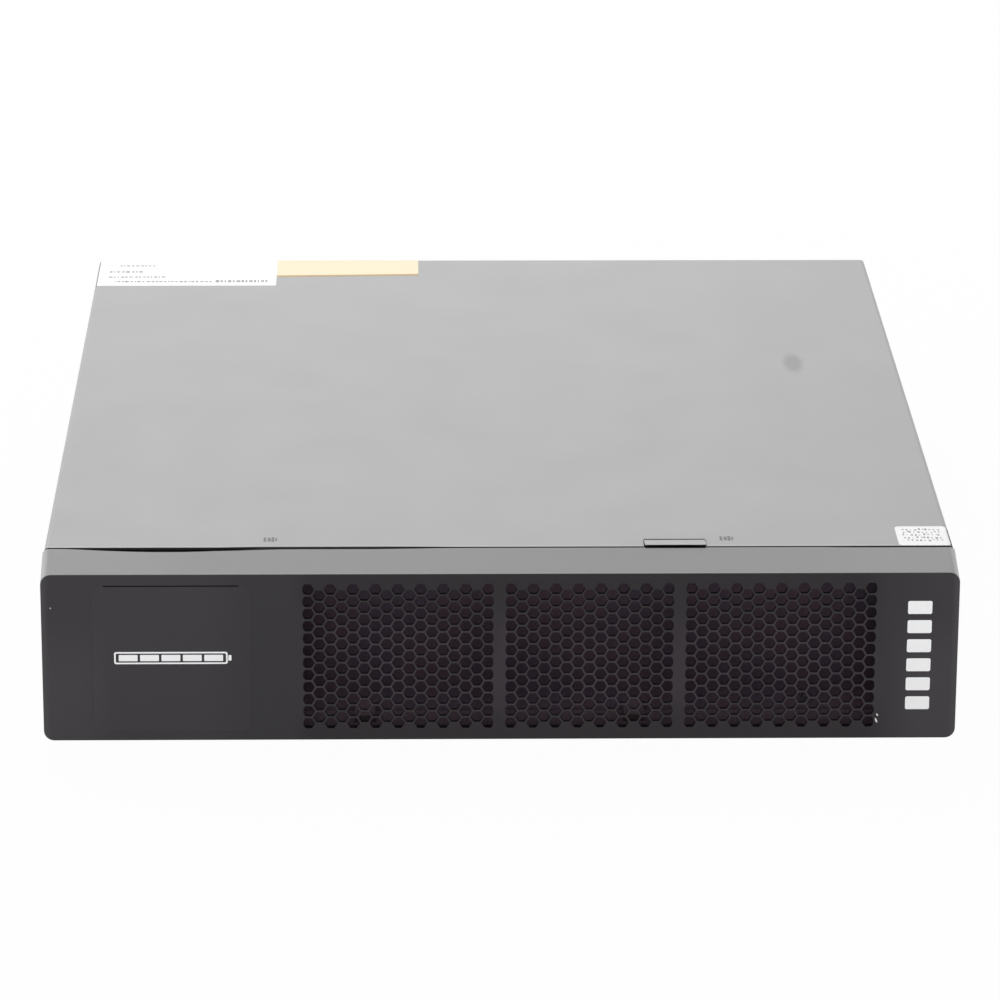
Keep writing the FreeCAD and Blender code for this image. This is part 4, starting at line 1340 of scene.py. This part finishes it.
@dataclass
class CoverShell:
    """Folded cover and moulded frame, with the films on the cover, in millimetres."""

    top: float = 86.5
    half: float = 219.2
    fold: float = 2.2
    edge: float = 0.25
    film: float = 0.1
    ink: float = 0.02
    stuck: float = 0.01
    label_round: float = 0.6
    white_label: Box = (-218.2, -117.2, 209.0, 258.9)
    yellow_label: Box = (-117.15, -36.8, 226.3, 258.9)
    yellow_lean: float = 2.6
    yellow_edge: float = 2.5
    small_label: Box = (193.0, 218.1, -230.35, -202.8)
    small_round: float = 2.5
    # Widths of the painted shadow strips beside the small and the white label
    label_shadows: Point = (0.8, 0.35)
    label_shadow_steps: int = 3
    corner_shares: tuple[float, ...] = (0.0, 0.06, 0.2, 0.4, 0.65, 1.0)
    bar_round: float = 0.2
    jumps: tuple[float, float, float, float] = (0.618, 0.29, 0.37, 0.73)
    # Middle along the depth, width, start and end of each line of dashes
    dash_lines: tuple[Box, ...] = (
        (217.0, 3.0, -208.4, -154.0),
        (217.6, 5.0, -151.5, -121.8),
        (226.0, 2.6, -212.2, -179.8),
        (236.3, 3.0, -212.2, -195.6),
        (248.3, 2.6, -206.8, -187.0),
    )
    dash_long: Point = (0.7, 1.7)
    dash_share: Point = (0.6, 0.4)
    dash_gap: Point = (0.45, 0.7)
    marks: int = 50
    mark_lines: int = 5
    mark_pitch: Point = (1.95, 3.9)
    mark_x: Point = (2.6, 1.1)
    mark_y: Point = (6.4, 1.6)
    mark_wide: Point = (0.4, 0.9)
    mark_deep: Point = (0.8, 2.0)
    tick_x: Point = (-110.5, 110.2)
    tick_y: float = -219.5
    # Shift, width and depth of each tick
    ticks: tuple[Point3, ...] = ((-2.8, 1.1, 5.5), (-0.7, 1.4, 4.6), (1.1, 1.2, 6.0), (2.7, 0.8, 3.6))

    def above(self, point: Point, level: float) -> Point3:
        """Place a flat point at a level above the cover, which drops along its folds."""
        past = max(abs(point[0]) - (self.half - self.fold), 0.0)
        drop = self.fold - math.sqrt(max(self.fold**2 - past**2, 0.0))
        return point[0], point[1], self.top - drop + level

    def sheet(self, stations: Sequence[Point3], lift: float, thick: float) -> Shape:
        """Closed thin film over the cover.

        Args:
            stations: Places across, each with its front and rear edge.
            lift: Underside above the cover.
            thick: Thickness of the film.

        Returns:
            The film's shape.
        """
        shape = Shape()
        rows = []
        for level in (lift, lift + thick):
            for end in (1, 2):
                rows.append(shape.add(self.above((place[0], place[end]), level) for place in stations))
        front, rear, front_up, rear_up = rows
        for index in range(1, len(stations)):
            for first, second in ((front, rear), (front_up, rear_up), (front, front_up), (rear, rear_up)):
                shape.face((first[index - 1], first[index], second[index], second[index - 1]))
        for index in (0, -1):
            shape.face((front[index], rear[index], rear_up[index], front_up[index]))
        return shape

    def stations(self, box: Box, corner: float, lean: float = 0.0) -> list[Point3]:
        """Stations of a film with rounded corners.

        Args:
            box: Left, right, front and rear edge.
            corner: Corner radius.
            lean: How much further back the front edge lies at the right end.

        Returns:
            Places across with their front and rear edge.
        """
        left, right, front, rear = box
        offsets = {share * max(corner, 1.0) for share in self.corner_shares}
        places = sorted({left + offset for offset in offsets} | {right - offset for offset in offsets})
        result = []
        for x in places:
            close = corner - min(x - left, right - x, corner)
            cut = corner - math.sqrt(max(corner**2 - close**2, 0.0))
            slant = lean * (x - left) / (right - left)
            result.append((x, front + slant + cut, rear - cut))
        return result

    def bars(self, rows: Sequence[Box]) -> Shape:
        """Flat printed bars on a film.

        Args:
            rows: Left, right, middle along the depth and width of each bar.

        Returns:
            The shape of the bars.
        """
        shape = Shape()
        low = self.film + self.ink
        for left, right, y, wide in rows:
            radius = min(wide, right - left) * self.bar_round
            loop = rounded((left + right) / 2, y, right - left, wide, radius, FEW_STEPS)
            shape.block(loop, self.above, low, low + self.ink)
        return shape

    def build(self) -> Pieces:
        """Dress cover and frame, and lay on the films.

        Returns:
            The pieces.
        """
        pieces = wear(COVER, "top_cover") + wear(FRAME, "front_frame")
        soften(self.edge, "top_cover", "front_frame")
        small, white = self.small_label, self.white_label
        yellow = self.stations(self.yellow_label, self.label_round, self.yellow_lean)
        films = [
            ("white_label", self.stations(white, self.label_round), WHITE_FILM),
            ("yellow_label", yellow, YELLOW_FILM),
            ("small_label", self.stations(small, self.small_round), WHITE_FILM),
        ]
        for name, stations, finish in films:
            pieces.append(self.sheet(stations, self.stuck, self.film).piece(name, (finish,)))
        edge = [(x, front, front + self.yellow_edge) for x, front, _ in yellow]
        printed = self.sheet(edge, self.stuck + self.film, self.ink)
        pieces.append(printed.piece("yellow_label_edge", (OCHRE,)))
        # Painted shadow strips at the outer edge of the small and the white label, where the cover's fold
        # lies in shade
        for name, start, wide, box in (
            ("small_label_shadow", small[1], self.label_shadows[0], small),
            ("white_label_shadow", white[0], -self.label_shadows[1], white),
        ):
            shares = [step / self.label_shadow_steps for step in range(self.label_shadow_steps + 1)]
            strip = [(start + wide * share, box[2], box[3] - self.small_round) for share in shares]
            pieces.append(self.sheet(strip, self.stuck, self.film).piece(name, (EDGE_SHADOW,)))
        for name, rows, finish in (
            ("white_label_print", self.wide_rows(), GREY_PRINT),
            ("small_label_print", self.small_rows(), GREY_PRINT),
            ("cover_ticks", self.tick_rows(), DARK_PRINT),
        ):
            pieces.append(self.bars(rows).piece(name, (finish,)))
        return pieces

    def wide_rows(self) -> list[Box]:
        """Plain uneven dashes in the lines of the white label.

        Returns:
            Left, right, middle along the depth and width of each.
        """
        rows: list[Box] = []
        long_jump, share_jump, gap_jump, _ = self.jumps
        for y, wide, start, stop in self.dash_lines:
            x = start
            while x < stop:
                long = varied(*self.dash_long, len(rows), long_jump)
                rows.append((x, x + long, y, wide * varied(*self.dash_share, len(rows), share_jump)))
                x += long + varied(*self.dash_gap, len(rows), gap_jump)
        return rows

    def small_rows(self) -> list[Box]:
        """Small uneven dashes scattered in five lines on the small label.

        Returns:
            Left, right, middle along the depth and width of each.
        """
        left, _, front, _ = self.small_label
        x_jump, deep_jump, y_jump, wide_jump = self.jumps
        rows = []
        for mark in range(self.marks):
            column, line = divmod(mark, self.mark_lines)
            x = left + self.mark_pitch[0] * column + varied(*self.mark_x, mark, x_jump)
            y = front + self.mark_pitch[1] * line + varied(*self.mark_y, mark, y_jump)
            wide = varied(*self.mark_wide, mark, wide_jump)
            rows.append((x, x + wide, y, varied(*self.mark_deep, mark, deep_jump)))
        return rows

    def tick_rows(self) -> list[Box]:
        """Short ticks near the front edge of the cover.

        Returns:
            Left, right, middle along the depth and width of each.
        """
        rows = []
        for middle in self.tick_x:
            for shift, wide, deep in self.ticks:
                rows.append((middle + shift - wide / 2, middle + shift + wide / 2, self.tick_y, deep))
        return rows


SIDES = ("left", "right")


def both(*kinds: str) -> list[str]:
    """Names of nodes that stand on both sides."""
    return [f"{kind}_{side}" for kind in kinds for side in SIDES]


@dataclass
class Chassis:
    """Folded steel pieces below and inside the cover."""

    edge: float = 0.12

    def build(self) -> Pieces:
        """Dress the steel pieces.

        Returns:
            The objects of the nodes.
        """
        pieces = wear(CASE, "base_pan", "rear_panel") + wear(BULKHEAD, "front_bulkhead")
        pieces += wear(TRAY, *both("battery_tray"), "centre_rail")
        soften(self.edge, "rear_panel")
        return pieces


@dataclass
class BatteryStrings:
    """Sealed blocks with their tabs, leads and foam."""

    blocks: int = 12

    def build(self) -> Pieces:
        """Dress the blocks and what joins them.

        Returns:
            The objects of the nodes.
        """
        pieces = wear(BLOCK, *[f"battery_{number:02d}" for number in range(1, self.blocks + 1)])
        pieces += wear(TAB, "battery_tabs", "fuse_clips") + wear(SLEEVE, "tab_sleeves", "board_spacers")
        pieces += wear(LEAD_RED, *both("positive_lead"))
        pieces += wear(LEAD_BLACK, *both("negative_lead", "series_links"))
        return pieces + wear(FOAM, *both("tray_pad", "foam_strip_inner", "foam_strip_outer"))


@dataclass
class RearFittings:
    """Sockets, board and earth point at the rear panel."""

    edge: float = 0.2
    screw_edge: float = 0.35

    def build(self) -> Pieces:
        """Dress the rear fittings.

        Returns:
            The objects of the nodes.
        """
        pieces = wear(SOCKET, *both("dc_socket")) + wear(CONTACT, "socket_contacts")
        pieces += wear(BOARD, "connector_board") + wear(TERMINAL, "board_terminals")
        pieces += wear(FUSE, "string_fuses")
        pieces += wear(ZINC, "earth_screw", "earth_washer", "earth_nut") + wear(BLACK_ZINC, "ear_nuts")
        soften(self.edge, *both("dc_socket"), "earth_washer")
        soften(self.screw_edge, "earth_screw")
        return pieces


@dataclass
class ScrewGroup:
    """Screws of one CAD node; with no facing given, the heads look outwards."""

    node: str
    head: Head
    axis: Axis
    finish: Finish
    slot: str
    facing: int = 0


@dataclass
class Fasteners:
    """Cross-recess screws of the case, in millimetres."""

    pan_radius: float = 2.8
    pan_high: float = 1.8
    pan_shank: float = 1.45
    pan_steps: tuple[Point, ...] = ((1.0, 0.0), (1.0, 0.4), (0.95, 0.66), (0.84, 0.85), (0.68, 0.96))
    flat_radius: float = 3.6
    flat_shank: float = 1.95
    flat_deep: float = 1.2
    flat_rim: Point = (0.1, 0.12)
    arm: Point = (1.45, 0.42)
    arm_floor: Point = (0.75, 0.28)
    recess: float = 1.1
    sides: int = 28
    first_turn: float = 0.4
    turn_step: float = 1.3

    def groups(self) -> list[ScrewGroup]:
        """All groups of screws.

        Returns:
            One group for each CAD node of screws.
        """
        return [
            ScrewGroup("cover_screws", Head.FLAT, Axis.X, BLACK_ZINC, "cover_paint"),
            ScrewGroup("tray_screws", Head.FLAT, Axis.Z, ZINC, "screw_steel", -1),
            ScrewGroup("socket_screws", Head.PAN, Axis.Y, ZINC, "screw_steel"),
            ScrewGroup("board_screws", Head.PAN, Axis.Y, ZINC, "screw_steel"),
            ScrewGroup("panel_screws", Head.PAN, Axis.Y, SCREW_PAINT, "screw_steel"),
        ]

    def cross(self, arm: Point) -> Loop:
        """Outline of the cross of a screw's recess.

        Args:
            arm: Half length and half width of an arm.

        Returns:
            Points in turning order.
        """
        far, near = arm
        loop = []
        for cosine, sine in ((1, 0), (0, 1), (-1, 0), (0, -1)):
            for x, y in ((far, -near), (far, near), (near, near)):
                loop.append((x * cosine - y * sine, x * sine + y * cosine))
        return loop

    def profile(self, head: Head, length: float) -> Loop:
        """Radius and level of each ring of a screw, from its tip to the edge of its crown.

        Args:
            head: Form of the head.
            length: Shank below zero.

        Returns:
            The rings.
        """
        if head is Head.PAN:
            rings = [(self.pan_shank, -length), (self.pan_shank, 0.0)]
            return rings + [(wide * self.pan_radius, high * self.pan_high) for wide, high in self.pan_steps]
        inset, deep = self.flat_rim
        rings = [(self.flat_shank, -length), (self.flat_shank, -self.flat_deep)]
        return rings + [(self.flat_radius, -deep), (self.flat_radius - inset, 0.0)]

    def screw(self, head: Head, length: float) -> Shape:
        """One screw whose seat or flush face lies at zero and whose head looks along Z.

        Args:
            head: Form of the head.
            length: Shank below zero.

        Returns:
            The screw's shape.
        """
        shape = Shape()
        around = circle(self.sides)
        rings = self.profile(head, length)
        loops = [shape.add((wide * u, wide * v, level) for u, v in around) for wide, level in rings]
        shape.loft(*loops)
        shape.face(loops[0])
        radius, level = rings[-1]
        crown = self.pan_high if head is Head.PAN else 0.0

        def dome(point: Point) -> Point3:
            """Point on the crown of the head."""
            share = min(math.hypot(*point) / radius, 1.0)
            return point[0], point[1], crown - (crown - level) * share**2

        mouth = self.cross(self.arm)
        shape.patch([(radius * u, radius * v) for u, v in around], [edges_of(mouth)], dome)
        floor = shape.add((x, y, crown - self.recess) for x, y in self.cross(self.arm_floor))
        shape.loft(shape.add(dome(point) for point in mouth), floor)
        shape.face(floor)
        return shape

    def build(self) -> Pieces:
        """Build every group of screws.

        Returns:
            The pieces, one for each group.
        """
        pieces = []
        for group in self.groups():
            axis = group.axis.value
            sunk = self.pan_high if group.head is Head.PAN else 0.0
            places = []
            length = 0.0
            for low, high in islands(group.node):
                middle = (low + high) / 2
                facing = group.facing or (1 if middle[axis] > 0 else -1)
                outward = Vector((0, 0, 0))
                outward[axis] = facing
                length = (high[axis] - low[axis]) / MM - sunk
                seat = middle.copy()
                seat[axis] = high[axis] if facing > 0 else low[axis]
                seat -= outward * sunk * MM
                turn = Matrix.Rotation(self.first_turn + self.turn_step * len(places), 4, "Z")
                upright = outward.to_track_quat("Z", "Y").to_matrix().to_4x4()
                places.append(Matrix.Translation(seat) @ upright @ turn)
            piece = self.screw(group.head, length).piece(group.node + "_heads", (group.finish,), places)
            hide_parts(group.node)
            pieces.append(piece)
        return pieces


# Studio


@dataclass(frozen=True)
class Softbox:
    """A large soft lamp."""

    name: str
    place: Point3
    aim: Point3
    size: Point
    watts: float

    def build(self) -> None:
        """Hang the lamp and turn it to its aim."""
        lamp = bpy.data.lights.new(self.name, "AREA")
        lamp.shape = "RECTANGLE"
        lamp.size, lamp.size_y = self.size
        lamp.energy = self.watts
        made = bpy.data.objects.new(self.name, lamp)
        made.location = self.place
        aim = Vector(self.aim) - Vector(self.place)
        made.rotation_euler = aim.to_track_quat("-Z", "Y").to_euler()
        bpy.context.scene.collection.objects.link(made)


@dataclass
class Studio:
    """White floor, soft light and the camera at the photograph's angle, in metres.

    Angles are in degrees, and the focal length is in widths of the picture.
    """

    camera_place: Point3 = (-0.04978, -2.52014, 0.90177)
    yaw: float = -1.2480
    pitch: float = 19.0655
    roll: float = 0.2707
    focal: float = 5.04468
    sensor: float = 36.0
    clip_end: float = 60.0
    floor_half: float = 8.0
    floor_drop: float = 0.0002
    floor_grey: float = 0.9
    floor_white: float = 0.965
    floor_near: Point = (0.001, 0.002)
    sky: float = 0.4
    lamps: tuple[Softbox, ...] = (
        Softbox("top_box", (-0.5, 1.4, 1.3), (0.0, 0.2, 0.0), (2.4, 1.6), 26.3),
        Softbox("front_box", (0.0, -3.4, 0.9), (0.0, -0.25, 0.05), (2.8, 1.2), 37.5),
        Softbox("left_box", (-1.9, -0.3, 0.45), (0.0, -0.1, 0.06), (1.4, 0.7), 9.0),
        Softbox("right_box", (1.9, -0.3, 0.45), (0.0, -0.1, 0.06), (1.4, 0.7), 9.0),
    )

    def seen(self, graph: Graph) -> Sock:
        """One for rays from the camera, a mirror or glass, else zero."""
        kinds = ("Is Camera Ray", "Is Glossy Ray", "Is Transmission Ray")
        camera, mirror, glass = (graph.node("ShaderNodeLightPath", output=kind) for kind in kinds)
        return camera.most(mirror).most(glass)

    def build_world(self) -> None:
        """Even sky that looks white."""
        world = bpy.data.worlds.new("studio")
        world.use_nodes = True
        bpy.context.scene.world = world
        graph = Graph(world.node_tree)
        strength = self.sky + (1 - self.sky) * self.seen(graph)
        sky = graph.node("ShaderNodeBackground", inputs={"Color": WHITE, "Strength": strength})
        graph.node("ShaderNodeOutputWorld", inputs={"Surface": sky})

    def build_floor(self) -> None:
        """White floor that keeps a faint shadow, and is not there from below."""
        material = bpy.data.materials.new("look_floor")
        material.use_nodes = True
        graph = Graph(material.node_tree)
        matt = graph.node("ShaderNodeBsdfDiffuse", inputs={"Color": (*(self.floor_grey,) * 3, 1)})
        glow = graph.node("ShaderNodeEmission", inputs={"Color": WHITE, "Strength": 1.0})
        white = self.seen(graph) * self.floor_white
        mixed = graph.node("ShaderNodeMixShader", inputs={0: white, 1: matt, 2: glow})
        near = graph.node("ShaderNodeLightPath", output="Ray Length").fall(*self.floor_near)
        below = graph.node("ShaderNodeNewGeometry", output="Backfacing").most(near)
        clear = graph.node("ShaderNodeBsdfTransparent")
        shown = graph.node("ShaderNodeMixShader", inputs={0: below, 1: mixed, 2: clear})
        graph.node("ShaderNodeOutputMaterial", inputs={"Surface": shown})
        half, drop = self.floor_half, -self.floor_drop
        mesh = bpy.data.meshes.new("floor")
        corners = [(-half, -half, drop), (half, -half, drop), (half, half, drop), (-half, half, drop)]
        mesh.from_pydata(corners, [], [(0, 1, 2, 3)])
        mesh.materials.append(material)
        floor = bpy.data.objects.new("floor", mesh)
        bpy.context.scene.collection.objects.link(floor)

    def build_camera(self) -> None:
        """Camera that looks as the photograph's did."""
        lens = bpy.data.cameras.new("camera")
        lens.sensor_width = self.sensor
        lens.lens = self.focal * self.sensor
        lens.clip_end = self.clip_end
        camera = bpy.data.objects.new("camera", lens)
        seen = Matrix(((1, 0, 0), (0, 0, -1), (0, 1, 0)))
        for angle, axis in ((self.yaw, "Y"), (self.pitch, "X"), (self.roll, "Z")):
            seen = Matrix.Rotation(math.radians(angle), 3, axis) @ seen
        world = (seen.transposed() @ Matrix.Diagonal((1, -1, -1))).to_4x4()
        camera.matrix_world = Matrix.Translation(self.camera_place) @ world
        bpy.context.scene.collection.objects.link(camera)
        bpy.context.scene.camera = camera

    def build(self) -> None:
        """Build the studio."""
        self.build_camera()
        self.build_world()
        self.build_floor()
        for lamp in self.lamps:
            lamp.build()
        bpy.context.scene.view_settings.view_transform = "Standard"


def main() -> None:
    """Build every sub-assembly in order and report its pieces."""
    logging.basicConfig(level=logging.INFO, format="%(name)s: %(message)s")
    Studio().build()
    for assembly in (FrontPlate(), CoverShell(), Chassis(), BatteryStrings(), RearFittings(), Fasteners()):
        for piece in assembly.build():
            LOG.info("%s: %s, %d faces", type(assembly).__name__, piece.name, len(piece.data.polygons))


if __name__ == "__main__":
    main()
